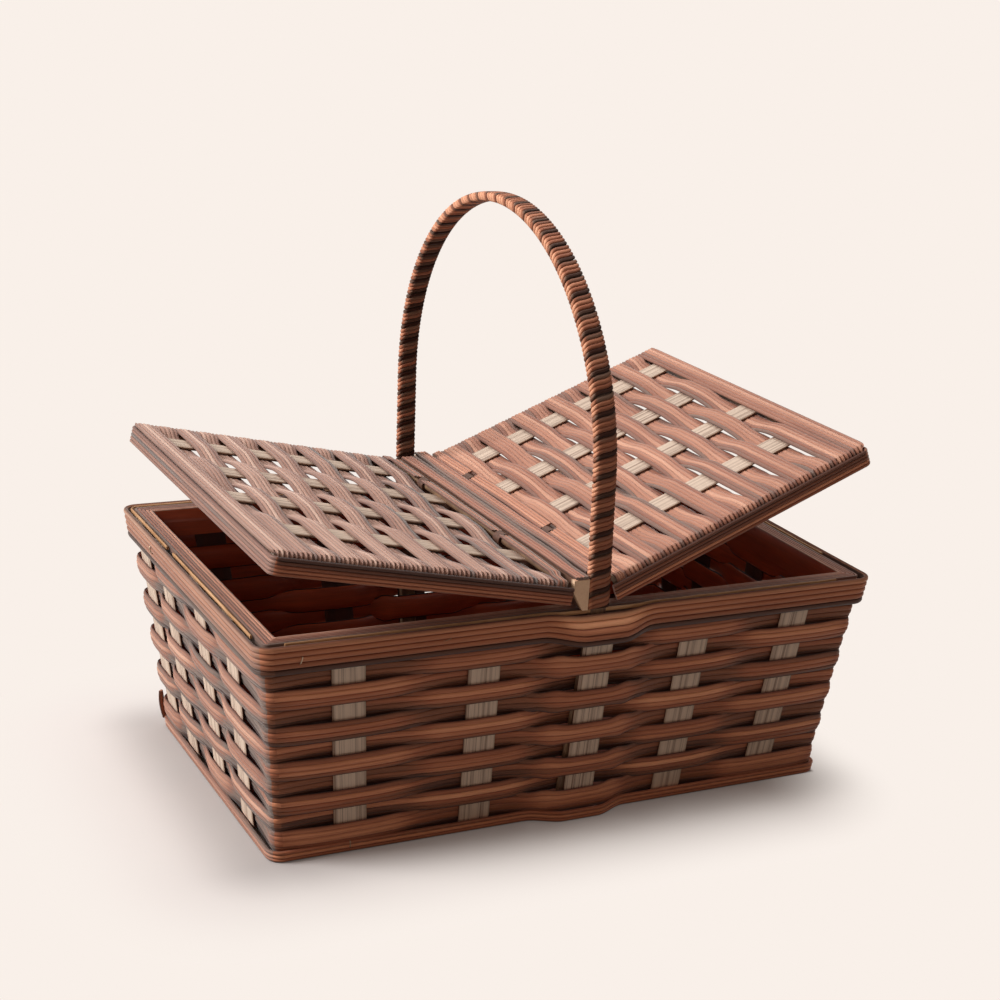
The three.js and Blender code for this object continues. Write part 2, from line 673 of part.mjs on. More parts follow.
// The frame: two cross rails, an end rail, the round hinge rod and the four slats that the bands cross
function lidFrame(side) {
  const low = LID_LOW + LID_FRAME_BELOW;
  const inner = LID_RAIL_OUTER - LID_FRAME_RAIL;
  const end = [LID_END_RAIL_OUTER - LID_FRAME_RAIL, LID_END_RAIL_OUTER].map((u) => side * u);
  const length = [0, side * LID_END_RAIL_OUTER];
  const rod = new THREE.CylinderGeometry(
    HINGE_PIN_RADIUS,
    HINGE_PIN_RADIUS,
    2 * LID_RAIL_OUTER,
    HINGE_PIN_SIDES,
  );
  const slatLow = LID_FRAME_TOP - LID_SLAT_THICKNESS;
  let frame = solid(rod)
    .add(boxSolid(...length, -LID_RAIL_OUTER, -inner, low, LID_FRAME_TOP))
    .add(boxSolid(...length, inner, LID_RAIL_OUTER, low, LID_FRAME_TOP))
    .add(boxSolid(...end, -LID_RAIL_OUTER, LID_RAIL_OUTER, low, LID_FRAME_TOP));
  for (const y of LID_SLAT_Y) {
    const half = LID_SLAT_WIDTH / 2;
    frame = frame.add(boxSolid(...length, y - half, y + half, slatLow, LID_FRAME_TOP));
  }
  return fromSolid(frame);
}

// The side view of a lid band: tucked down behind the side band, over the rail, and over or under each slat
function lidBandProfile(k) {
  const over = LID_TOP - LID_BAND_THICKNESS / 2;
  const under = LID_FRAME_TOP - LID_SLAT_THICKNESS - FIT - LID_BAND_THICKNESS / 2;
  const tuck = LID_TUCK_OUTER - LID_BAND_THICKNESS / 2;
  const half = LID_SLAT_WIDTH / 2 + PLATEAU_MARGIN / 2;
  const edge = [
    { p: tuck, z: over - LID_BAND_THICKNESS - LID_BAND_TUCK },
    { p: tuck, z: over - LID_BAND_THICKNESS },
    { p: tuck - LID_BAND_EASE, z: over - LID_BAND_EASE },
    { p: tuck - LID_BAND_THICKNESS, z: over },
    { p: LID_RAIL_OUTER - LID_FRAME_RAIL - PLATEAU_MARGIN / 2, z: over },
  ];
  const heights = LID_SLAT_Y.map((_, i) => (k > 0 && (i + k) % 2 === 0 ? under : over));
  const middle = [];
  LID_SLAT_Y.forEach((y, i) => {
    middle.push({ p: y - half, z: heights[i] }, { p: y + half, z: heights[i] });
    if (i + 1 < heights.length && heights[i] !== heights[i + 1]) {
      const start = y + half;
      const end = LID_SLAT_Y[i + 1] - half;
      for (const t of [0.3, 0.7]) {
        middle.push({ p: mix(start, end, t), z: mix(heights[i], heights[i + 1], smooth(t)) });
      }
    }
  });
  const line = [...edge.map(({ p, z }) => ({ p: -p, z })), ...middle, ...edge.reverse()];
  return line.map((step, i) => {
    const before = line[Math.max(0, i - 1)];
    const after = line[Math.min(line.length - 1, i + 1)];
    const length = Math.hypot(after.p - before.p, after.z - before.z);
    return { ...step, np: -(after.z - before.z) / length, nz: (after.p - before.p) / length };
  });
}

function lidBand(side, k) {
  const pitch = (LID_LENGTH - LOOP_OUTER - 3 * FIT) / LID_BANDS;
  const outer = LID_LENGTH - pitch * k - LID_BAND_GAP / 2;
  const inner = LID_LENGTH - pitch * (k + 1) + LID_BAND_GAP / 2;
  const half = LID_BAND_THICKNESS / 2;
  const outline = [[inner, -half], [outer, -half], [outer, half], [inner, half]];
  const sections = lidBandProfile(k).map(({ p, z, np, nz }) => {
    const limit = Math.abs(p) > LID_RAIL_OUTER ? LID_LENGTH - LID_CORNER_RADIUS : LID_LENGTH;
    return outline.map(([u, t]) => [side * Math.min(u, limit), p + np * t, z + nz * t]);
  });
  return loft(sections, outline);
}

// The ribbed band along the front, outer and back edges of a lid
function lidSideBand(side) {
  const high = LID_LOW + LID_SIDE_BAND_HEIGHT;
  const outline = ribbedOutline(LID_LOW, high, LID_SIDE_BAND_THICKNESS, LID_SIDE_BAND_RIBS);
  const radius = LID_CORNER_RADIUS - LID_SIDE_BAND_THICKNESS;
  const cornerU = LID_LENGTH - LID_CORNER_RADIUS;
  const cornerY = LID_HALF_WIDTH - LID_CORNER_RADIUS;
  const stations = [(o) => [HINGE_PIN_RADIUS, -LID_SIDE_INNER - o]];
  for (const [signY, start] of [[-1, -90], [1, 0]]) {
    for (const step of [0, 30, 60, 90]) {
      const turn = THREE.MathUtils.degToRad(start + step);
      stations.push((o) => [
        cornerU + (radius + o) * Math.cos(turn),
        signY * cornerY + (radius + o) * Math.sin(turn),
      ]);
    }
  }
  stations.push((o) => [HINGE_PIN_RADIUS, LID_SIDE_INNER + o]);
  const sections = stations.map((at) =>
    outline.map(([o, z]) => {
      const [u, y] = at(o);
      return [side * u, y, z];
    }),
  );
  return loft(sections, outline);
}

function buildLid(name, side, degrees) {
  place(`${name}_frame`, openLid(lidFrame(side), side, degrees), SLAT);
  place(`${name}_side_band`, openLid(lidSideBand(side), side, degrees), BAND);
  for (let k = 0; k < LID_BANDS; k++) {
    const number = String(k + 1).padStart(2, "0");
    place(`${name}_band_${number}`, openLid(lidBand(side, k), side, degrees), BAND);
  }
}

for (let row = 1; row <= WEAVER_ROWS; row++) {
  place(`weaver_${String(row).padStart(2, "0")}`, weaver(row), BAND);
}
CROSS_STAKE_X.forEach((_, k) => place(`cross_stake_${k + 1}`, crossStake(k), SLAT));
LONG_STAKE_Y.forEach((_, j) => place(`long_stake_${j + 1}`, longStake(j), SLAT));
place("outer_rim", outerRim(), BAND_DARK);
place("inner_rim", innerRim(), BAND);
place("foot_band", footBand(), BAND_DARK);
place("floor_panel", floorPanel(), SLAT);
place("handle_core", handleCore(), SLAT);
place("handle_wrap", handleWrap(), BAND_DARK);
place("centre_bar", centreBar(), SLAT);
for (const [name, side] of [["left", -1], ["right", 1]]) {
  LOOP_Y.forEach((y, i) => {
    const end = i === 0 ? "front" : "back";
    place(`${name}_hinge_loop_${end}`, hingeLoop(side, y), BAND_DARK);
  });
}
buildLid("left_lid", -1, LEFT_LID_OPEN);
buildLid("right_lid", 1, RIGHT_LID_OPEN);

export default group;
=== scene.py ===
"""Woven picnic basket: its visible pieces, their finishes and the studio, built round the nodes of the solid model.

Lengths are in metres and +Z is up. X runs along the basket to the right lid, Y from the front wall to the back one.
"""

import math
import random
from functools import partial

import bmesh
import bpy
from mathutils import Matrix, Vector, noise


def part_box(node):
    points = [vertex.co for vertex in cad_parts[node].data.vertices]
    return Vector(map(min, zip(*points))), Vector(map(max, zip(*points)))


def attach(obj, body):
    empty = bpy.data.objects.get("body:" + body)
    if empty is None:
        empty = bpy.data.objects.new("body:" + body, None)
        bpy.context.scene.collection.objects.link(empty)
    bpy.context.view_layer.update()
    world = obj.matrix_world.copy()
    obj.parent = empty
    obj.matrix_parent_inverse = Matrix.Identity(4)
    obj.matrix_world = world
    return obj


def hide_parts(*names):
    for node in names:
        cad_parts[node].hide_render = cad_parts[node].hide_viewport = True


bl_info = {
    "name": "Picnic Basket",
    "version": (1, 0, 0),
    "blender": (4, 5, 0),
    "location": "View3D > Sidebar > Basket",
    "description": "Builds a woven picnic basket with two hinged lids and a bound arch handle",
    "category": "Add Mesh",
}

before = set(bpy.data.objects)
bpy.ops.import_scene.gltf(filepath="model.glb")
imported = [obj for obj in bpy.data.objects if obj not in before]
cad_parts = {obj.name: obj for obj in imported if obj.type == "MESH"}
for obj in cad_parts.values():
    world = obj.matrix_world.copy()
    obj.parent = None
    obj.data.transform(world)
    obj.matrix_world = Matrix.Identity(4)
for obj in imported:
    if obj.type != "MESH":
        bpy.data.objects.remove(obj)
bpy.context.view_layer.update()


# Properties


def linear(code):
    """A hexadecimal screen colour as the linear values that shaders use."""
    parts = [int(code[i : i + 2], 16) / 255 for i in (0, 2, 4)]
    return tuple(p / 12.92 if p <= 0.04045 else ((p + 0.055) / 1.055) ** 2.4 for p in parts)


def number(name, description, default, **kind):
    return bpy.props.FloatProperty(name=name, description=description, default=default, **kind)


def length(name, description, default):
    return number(name, description, default, min=0, unit="LENGTH", precision=4)


def place(name, description, default):
    return number(name, description, default, unit="LENGTH", precision=4)


def angle(name, description, degrees):
    return number(name, description, math.radians(degrees), subtype="ANGLE")


def colour(name, description, code):
    return bpy.props.FloatVectorProperty(
        name=name, description=description, default=linear(code), size=3, min=0, max=1, subtype="COLOR"
    )


class BasketBody(bpy.types.PropertyGroup):
    fit: length("Fit", "Clearance between pieces that touch", 0.0003)
    rim_length: length("Rim length", "Outside length at the rim", 0.4)
    rim_width: length("Rim width", "Outside width at the rim", 0.259)
    foot_length: length("Foot length", "Outside length at the foot", 0.371)
    foot_width: length("Foot width", "Outside width at the foot", 0.2064)
    foot_shift: length("Foot shift", "How far the foot lies to the right under the rim", 0.007)
    rim_height: length("Rim height", "Height of the rim above the ground", 0.142)
    corner_radius: length("Corner radius", "Radius of the upright corners", 0.0048)
    stake_width: length("Stake width", "Width of an upright slat", 0.02)
    stake_thickness: length("Stake space", "Room that an upright slat takes up in a wall", 0.0024)
    slat_thickness: length("Stake thickness", "Thickness of an upright slat", 0.0019)
    stake_bend: length("Stake bend", "Size of the bend where a slat turns under the base", 0.004)
    stake_top: length("Stake top", "How far the slats stop below the top of the rim", 0.0025)
    weaver_height: length("Weaver height", "Height of a woven band", 0.0112)
    weaver_thickness: length("Weaver thickness", "Thickness of a woven band", 0.0024)
    weaver_over: length("Weaver over", "How much a band widens to each side in front of a slat", 0.0006)
    weaver_under: length("Weaver under", "How much a band widens to each side behind a slat", 0.002)
    weaver_crown: length("Weaver crown", "How round a band is across its strands", 0.0014)
    rim_band_height: length("Rim band height", "Height of the outer rim hoop", 0.0181)
    rim_band_thickness: length("Rim band thickness", "Thickness of the outer rim hoop", 0.0038)
    inner_band_height: length("Inner band height", "Height of the inner rim hoop", 0.0172)
    inner_band_thickness: length("Inner band thickness", "Thickness of the inner rim hoop", 0.01)
    inner_band_drop: length("Inner band drop", "How far the inner hoop lies below the outer one", 0.0004)
    foot_band_height: length("Foot band height", "Height of the band round the foot", 0.0073)
    foot_band_thickness: length("Foot band thickness", "Thickness of the band round the foot", 0.0028)
    bulge_flat: length("Bulge flat", "Half length of the rim that stands out at the handle's feet", 0.012)
    bulge_run: length("Bulge run", "Length over which the rim comes back to the wall", 0.025)
    bulge_clear: length("Bulge clearance", "How far the rim stands off the slats at the handle's feet", 0.004)
    bulge_drop: length("Bulge drop", "How far the rim is pulled down at the handle's feet", 0.0024)


class BasketHandle(bpy.types.PropertyGroup):
    rise: length("Rise", "Height of the arch above the rim", 0.2135)
    leg: length("Leg", "Straight part of a leg above the rim", 0.0766)
    leg_out: length("Leg out", "How far a leg stands out from the middle of the wall", 0.0014)
    foot_x: place("Front foot", "Place of the front foot along the basket", 0.0063)
    foot_back_x: place("Back foot", "Place of the back foot along the basket", -0.0053)
    lean: length("Lean", "How far the top of the arch leans to the left", 0.0058)
    core_width: length("Core width", "Width of the strip inside the binding", 0.0115)
    core_thickness: length("Core thickness", "Thickness of the strip inside the binding", 0.0032)
    wrap_width: length("Wrap width", "Width of the binding band", 0.0112)
    wrap_pitch: length("Wrap pitch", "Distance from one turn of the binding to the next", 0.0115)
    wrap_thickness: length("Wrap thickness", "Thickness of the binding band", 0.0011)


class BasketLids(bpy.types.PropertyGroup):
    left_open: angle("Left lid", "How far the left lid stands open", 11.5)
    right_open: angle("Right lid", "How far the right lid stands open", 22.2)
    hinge_x: length("Hinge place", "Distance of a hinge from the middle of the basket", 0.016)
    hinge_z: length("Hinge height", "Height of the hinges above the ground", 0.1588)
    pin_radius: length("Pin radius", "Radius of the hinge rod", 0.0022)
    length: length("Length", "From the hinge to the outer edge", 0.1798)
    width: length("Width", "From the front edge to the back edge", 0.262)
    depth: length("Depth", "Thickness of a lid over its edge bands", 0.0133)
    top: length("Top", "Height of the lid's surface above its hinge", 0.002)
    slat_width: length("Slat width", "Width of the pale slats that the bands cross", 0.018)
    slat_thickness: length("Slat thickness", "Thickness of the pale slats", 0.0018)
    band_thickness: length("Band thickness", "Thickness of a woven band", 0.0024)
    band_under: length("Band under", "How much a band widens to each side under a slat", 0.002)
    band_gap: length("Band gap", "Space between two bands where both lie on top", 0.0001)
    band_crown: length("Band crown", "How round a band is across its strands", 0.0006)
    band_tuck: length("Band tuck", "How far a band's end runs down behind the edge band", 0.008)
    rail: length("Rail", "Width of the frame's rails", 0.004)
    edge_height: length("Edge band height", "Height of the band along the lid's edges", 0.0104)
    edge_thickness: length("Edge band thickness", "Thickness of the band along the lid's edges", 0.0024)
    corner_radius: length("Corner radius", "Radius of the outer corners", 0.005)


class BasketColours(bpy.types.PropertyGroup):
    dark: colour("Dark strands", "The darkest strands of the woven bands", "40261c")
    grey: colour("Grey strands", "The weathered grey strands", "7e6a60")
    brown: colour("Brown strands", "The middle brown strands", "98634f")
    salmon: colour("Salmon strands", "The pink brown strands", "c08a72")
    peach: colour("Peach strands", "The lightest strands", "e0ae94")
    mahogany: colour("Inner faces", "The varnished inner faces of the bands", "cc5c34")
    mahogany_dark: colour("Inner shade", "The darker inner faces", "8a3a20")
    stained: colour("Stained slats", "The inner faces of the upright slats", "5a2814")
    slat: colour("Slats", "The pale upright slats", "d8c3ae")
    slat_grain: colour("Slat grain", "The grain of the pale slats", "8e7464")
    reed: colour("Filler reed", "The strip between the rim hoops", "dcae80")
    wire: colour("Staples", "The wire of the small staples", "b8a48c")
    ground: colour("Ground", "The studio's floor and backdrop", "f9f0e9")


def colour_of(name):
    """One of the basket's colours by its name, or another by its hexadecimal code or its linear values."""
    colours = bpy.context.scene.basket_colours
    if isinstance(name, tuple):
        return name
    return tuple(getattr(colours, name)) if hasattr(colours, name) else linear(name)


# Shaders


def operation(name, reflected=False):
    """A method of Value that adds a Math node."""

    def apply(self, *others):
        values = (*others, self) if reflected else (self, *others)
        return self.finish.node("Math", {"operation": name}, dict(enumerate(values)))

    return apply


class Value:
    """One socket of a material's nodes, so that maths on it is written as an expression."""

    def __init__(self, finish, socket):
        self.finish = finish
        self.socket = socket

    __add__ = __radd__ = operation("ADD")
    __sub__ = operation("SUBTRACT")
    __rsub__ = operation("SUBTRACT", reflected=True)
    __mul__ = __rmul__ = operation("MULTIPLY")
    __pow__ = operation("POWER")
    __abs__ = operation("ABSOLUTE")
    floor = operation("FLOOR")

    def clamp(self):
        return self.finish.node("Clamp", {}, {0: self})

    def pick(self, name):
        """Another output of the same node."""
        return Value(self.finish, self.socket.node.outputs[name])


class Finish:
    """The nodes of a material or of the world."""

    def __init__(self, holder):
        self.holder = holder
        holder.use_nodes = True
        self.tree = holder.node_tree
        self.tree.nodes.clear()

    def node(self, kind, settings=None, sockets=None, output=0):
        """Adds a node: its settings first, then the values or links of its sockets."""
        made = self.tree.nodes.new("ShaderNode" + kind)
        for key, value in (settings or {}).items():
            if key == "stops":
                self._stops(made.color_ramp.elements, value)
            else:
                setattr(made, key, value)
        for key, value in (sockets or {}).items():
            if isinstance(value, Value):
                self.tree.links.new(value.socket, made.inputs[key])
            else:
                made.inputs[key].default_value = value
        return Value(self, made.outputs[output]) if len(made.outputs) else None

    @staticmethod
    def _stops(elements, stops):
        elements.remove(elements[1])
        elements[0].position = stops[0][0]
        elements[0].color = (*stops[0][1], 1)
        for at, shade in stops[1:]:
            elements.new(at).color = (*shade, 1)

    def ramp(self, level, stops, shade=(1, 1, 1)):
        """Colours by level, each multiplied by a shade."""
        stops = [(at, [c * s for c, s in zip(colour_of(name), shade)]) for at, name in stops]
        return self.node("ValToRGB", {"stops": stops}, {0: level})

    def tint(self, kind, amount, under, over):
        """Mixes two colours."""
        under, over = (side if isinstance(side, Value) else (*colour_of(side), 1) for side in (under, over))
        settings = {"data_type": "RGBA", "blend_type": kind, "clamp_factor": True}
        return self.node("Mix", settings, {0: amount, 6: under, 7: over}, 2)

    def vector(self, x, y, z=0.0):
        return self.node("CombineXYZ", {}, {0: x, 1: y, 2: z})

    def split(self, vector):
        parts = self.node("SeparateXYZ", {}, {0: vector})
        return [parts.pick(axis) for axis in "XYZ"]

    def place(self):
        """The three coordinates of the object."""
        return self.split(self.node("TexCoord").pick("Object"))

    def along_and_across(self):
        """The two coordinates of a lofted piece: metres along it, and strands or widths across it."""
        return self.split(self.node("UVMap", {"uv_map": "Strand"}))[:2]

    def attribute(self, name):
        return self.node("Attribute", {"attribute_name": name}).pick("Fac")

    def cloud(self, at, scales, detail=2.0, rough=0.5):
        """Noise at three coordinates, each with its own scale."""
        vector = self.vector(*(part * scale for part, scale in zip(at, scales)))
        sockets = {"Vector": vector, "Scale": 1.0, "Detail": detail, "Roughness": rough}
        return self.node("TexNoise", {"noise_dimensions": "3D"}, sockets)

    def surface(self, base, rough, height, strength, fixed=None, distance=0.0005):
        """The shader: what varies over the surface, its relief, and the values that are the same all over."""
        sockets = {"Base Color": base, "Roughness": rough, **(fixed or {})}
        if height is not None:
            relief = {"Strength": strength, "Distance": distance, "Height": height}
            sockets["Normal"] = self.node("Bump", {}, relief)
        self.node("OutputMaterial", {}, {"Surface": self.node("BsdfPrincipled", {}, sockets)})
        return self.holder


FINE_RELIEF = 0.0004


def strand_finish(f, strands, shade, groove_shade=0.45, edges=0.75, shine=0.45, grey="grey", dark="dark"):
    """Split strands side by side, each with its own tone that drifts along it, with painted shade as dark lines in the
    grooves between them and at the band's edges.
    """
    along, across = f.along_and_across()
    strand = across.floor()
    tone = f.attribute("tone")
    drift = f.cloud((along, strand, tone), (7, 3.7, 31)) - 0.5
    fibre = f.cloud((along, across, tone), (20, 4.5, 17), 3, 0.6)
    fine = f.cloud((along, across, tone), (60, 14, 11), 2, 0.6)
    # The fade attribute adds the piece's painted light and shade to the strands' tone
    level = (tone + f.attribute("fade") + drift * 0.5 + (fibre - 0.5) * 0.45).clamp()
    base = f.ramp(level, [(0.0, dark), (0.3, grey), (0.5, "brown"), (0.74, "salmon"), (1.0, "peach")], shade)
    groove = (abs((across - strand) * 2 - 1) ** 3.5).clamp()
    edge = (abs(across * (2 / strands) - 1) ** 6).clamp()
    streak = ((fine - 0.52) * 3).clamp()
    # Painted shade: darker in the grooves between strands and towards the band's edges
    base = f.tint("MULTIPLY", groove * groove_shade, base, "6a4a3c")
    base = f.tint("MULTIPLY", edge * edges, base, "4c3026")
    base = f.tint("MULTIPLY", streak * 0.18, base, "a88672")
    rough = 0.42 + fibre * 0.22 + groove * 0.2
    relief = fibre * 0.6 + fine * 0.4 - groove * 0.5
    fixed = {"Specular IOR Level": shine, "Sheen Weight": shine / 2}
    return f.surface(base, rough, relief, 0.5, fixed, FINE_RELIEF)


def inner_finish(f, shade):
    """The varnished inner faces of the bands."""
    along, across = f.along_and_across()
    tone = f.attribute("tone")
    cloud = f.cloud((along, across, tone), (22, 0.8, 23), 3)
    fibre = f.cloud((along, across, tone), (35, 8, 5), 2, 0.6)
    level = (tone * 0.6 + cloud * 0.9 - 0.15 + (fibre - 0.5) * 0.5).clamp()
    base = f.ramp(level, [(0.0, "mahogany_dark"), (0.75, "mahogany"), (1.0, "e07040")], [shade] * 3)
    return f.surface(base, 0.34 + fibre * 0.2, fibre, 0.3, {"Coat Weight": 0.2}, FINE_RELIEF)


def slat_finish(f, shade):
    """Plain split bamboo with its grain along the slat."""
    along, across = f.along_and_across()
    tone = f.attribute("tone")
    broad = f.cloud((along, across, tone), (5, 4.5, 41))
    grain = f.cloud((along, across, tone), (12, 17, 13), 3, 0.65)
    level = (0.5 + (broad - 0.5) * 1.9 + (grain - 0.5) * 1.7).clamp()
    lightest = tuple(1.06 * c for c in colour_of("slat"))
    base = f.ramp(level, [(0.0, "slat_grain"), (0.55, "slat"), (1.0, lightest)], [shade] * 3)
    edge = ((abs(across) - 0.86) * 7).clamp()
    base = f.tint("MULTIPLY", edge * 0.55, base, "9a7a58")
    return f.surface(base, 0.5 + grain * 0.2, grain, 0.45, {"Specular IOR Level": 0.35})


def board_finish(f, light, dark, stretch):
    """Plain wood, with its grain drawn out along one direction."""
    grain = f.cloud(f.place(), stretch, 3, 0.6)
    base = f.ramp(grain, [(0.3, dark), (0.7, light)])
    return f.surface(base, 0.45 + grain * 0.25, grain, 0.4)


def bar_finish(f, tip_start):
    """The centre bar: pale where its tips show, darker between the lids."""
    at = f.place()
    grain = f.cloud(at, (500, 12, 500), 3, 0.6)
    tip = ((abs(at[1]) - tip_start) * 400).clamp()
    base = f.tint("MULTIPLY", grain * 0.5, f.tint("MIX", tip, "6e5040", "ffdcb8"), "c8a888")
    return f.surface(base, 0.45 + grain * 0.25, grain, 0.4)


def wire_finish(f):
    worn = f.cloud(f.place(), (900, 900, 900))
    base = f.tint("MULTIPLY", worn * 0.5, "wire", "8a6a4a")
    return f.surface(base, 0.3 + worn * 0.2, None, 0, {"Metallic": 0.8})


# Each finish: what makes it, the material's name, and then the maker's own settings, which for strands are their
# count, the shade, the strength of the painted shade in the grooves and at the edges, the shine, and other grey and
# dark colours
FINISHES = {
    # Painted light: woven and rim are warm copies for the walls in shade, woven_grey and rim_grey grey ones where the
    # key lamp falls
    "woven": (strand_finish, "four_strands", 4, (1.5, 1.28, 1.0), 0.38, 0.9, 0.25, "7a5240"),
    "woven_grey": (strand_finish, "weathered_strands", 4, (1.05, 1.08, 1.04)),
    "cover": (strand_finish, "cover_strands", 4, (1.04, 0.95, 0.85)),
    # Painted sheen: lid_grey is a greyer copy for the left lid, lid_pink a pinker one for the right
    "lid_grey": (strand_finish, "grey_lid_strands", 5, (0.81, 0.93, 1.0), 0.15, 0.4),
    "lid_pink": (strand_finish, "pink_lid_strands", 5, (0.88, 0.82, 0.76), 0.15, 0.4),
    # Painted light: front_edge is a warmer copy for the lids' front edges, which lie in shade
    "front_edge": (strand_finish, "front_edge_strands", 5, (1.25, 1.05, 0.85), 0.4, 0.5, 0.25, "6a4434"),
    "rim": (strand_finish, "rim_strands", 5, (1.42, 1.24, 0.96), 0.5, 0.8, 0.25, "7a5240"),
    "rim_grey": (strand_finish, "weathered_rim_strands", 5, (1.06, 1.1, 1.0)),
    "bound": (strand_finish, "dark_strands", 4, (1.15, 1.04, 0.9), 0.3, 0.5, 0.1, "grey", "30160c"),
    "inner": (inner_finish, "varnished_inner_face", 0.98),
    "lid_inner": (inner_finish, "lid_inner_face", 0.62),
    "rim_inside": (inner_finish, "rim_inside", 0.85),
    "slat": (slat_finish, "pale_bamboo", 1.14),
    "lid_slat": (slat_finish, "lid_bamboo", 0.9),
    "stained": (board_finish, "stained_slat", "stained", "34160c", (60, 60, 12)),
    "reed": (board_finish, "golden_reed", "reed", "a8784c", (40, 40, 300)),
    "core": (board_finish, "core_wood", "8a6a4c", "5a4030", (500, 60, 60)),
    "board": (board_finish, "floor_board", "7a3a20", "481e10", (12, 220, 60)),
    "tie": (board_finish, "dark_tie", "6a4634", "3c281e", (300, 900, 300)),
    "bar": (bar_finish, "bar_wood", 0.124),
    "wire": (wire_finish, "staple_wire"),
}
made_finishes = {}


def finish_of(name):
    """The material of a finish, made when a piece first asks for it."""
    if name not in made_finishes:
        maker, material, *settings = FINISHES[name]
        made_finishes[name] = maker(Finish(bpy.data.materials.new(material)), *settings)
    return made_finishes[name]


# Meshes


SHARP_ANGLE = math.radians(48)


def mix(a, b, t):
    return a + (b - a) * t


def smooth(t):
    k = min(1.0, max(0.0, t))
    return k * k * (3 - 2 * k)


def steps_between(start, end, most):
    """Values from start to end, no further apart than most."""
    count = max(1, math.ceil(abs(end - start) / most))
    return [mix(start, end, i / count) for i in range(count + 1)]


def quarter_turns(steps, whole=False):
    """The angles of a quarter turn without its first one, and without its last one unless it is whole."""
    return [math.pi / 2 * step / steps for step in range(1, steps + whole)]


def wobble(x, y, z, most):
    """A small unevenness that is the same each time."""
    return noise.noise(Vector((x, y, z))) * most


def strand_tones(seed, pattern, spread=0.13):
    """A tone for each strand of a band: the usual order of strands, with the differences of one band to another."""
    pick = random.Random(seed)
    shift = pick.uniform(-0.07, 0.09)
    return [min(1, max(0, tone + shift + pick.uniform(-spread, spread))) for tone in pattern]


def strand_spans(strand, facet, facets):
    """The coordinates across of the two ends of a round strand's facet."""
    return [strand + (1 - math.cos(math.pi * (facet + k) / facets)) / 2 for k in (0, 1)]


def ribbed_section(strands, half, round_by, crown=0.0, facets=6, narrow=1):
    """A band's outline as (out, across) with across from -1 to 1: round strands outside, a smooth inner face.

    The crown is how far the outer strands lie back, and narrow makes the strands slimmer. Each edge of the outline
    has a span: the coordinates across of its two ends and the slot of its material.
    """
    outline = []
    spans = []
    for strand in range(strands):
        for facet in range(facets):
            start, end = strand_spans(strand, facet, facets)
            across = 2 * start / strands - 1
            rounded = round_by * (1 - math.sin(math.pi * facet / facets) ** narrow)
            outline.append((half - rounded - crown * across**2, across))
            spans.append((start, min(end, strand + 0.999), 0))
    outline.append((half - round_by - crown, 1.0))
    spans.append((strands - 0.01, strands - 0.01, 0))
    inner = [(-0.1, 1.0), (-0.5, 0.93), (-0.85, 0.76), (-1.05, 0.4), (-1.12, 0.0)]
    inner += [(out, -across) for out, across in reversed(inner[:-1])]
    ends = [strands * (across + 1) / 2 for _, across in inner]
    outline.extend((out * half, across) for out, across in inner)
    slots = [0, *[1] * (len(inner) - 3), 0]
    spans.extend(zip(ends, ends[1:], slots))
    spans.append((0.01, 0.01, 0))
    return outline, spans


def ledge_section(strands, width, height, rise=0.0007, facets=5):
    """The inner hoop's outline as (out, up): strands side by side on top, and smooth inner faces."""
    outline = []
    spans = []
    for strand in range(strands):
        for facet in range(facets):
            start, end = strand_spans(strand, facet, facets)
            outline.append((-width * start / strands, -rise * (1 - math.sin(math.pi * facet / facets))))
            spans.append((start, min(end, strand + 0.999), 0))
    outline += [(-width, -rise), (-width - 0.0003, -height / 2), (-width, -height), (0.0, -height)]
    spans += [(0.0, 2.0, 1), (2.0, 4.0, 1), (0.0, 4.0, 1), (0.0, 0.9, 0)]
    return outline, spans


def slat_section(half, inner_slot=0):
    """A flat slat's outline as (out, across), a little crowned and with eased edges."""
    outer = [(0.35, -1.0), (0.8, -0.93), (1.0, -0.6), (1.0, 0.0), (1.0, 0.6), (0.8, 0.93), (0.35, 1.0)]
    outline = [(out * half, across) for out, across in outer]
    outline += [(-out * half, across) for out, across in reversed(outer)]
    ends = [across for _, across in outline]
    slots = [0] * (len(outer) - 1) + [inner_slot] * (len(outer) + 1)
    return outline, list(zip(ends, ends[1:] + ends[:1], slots))


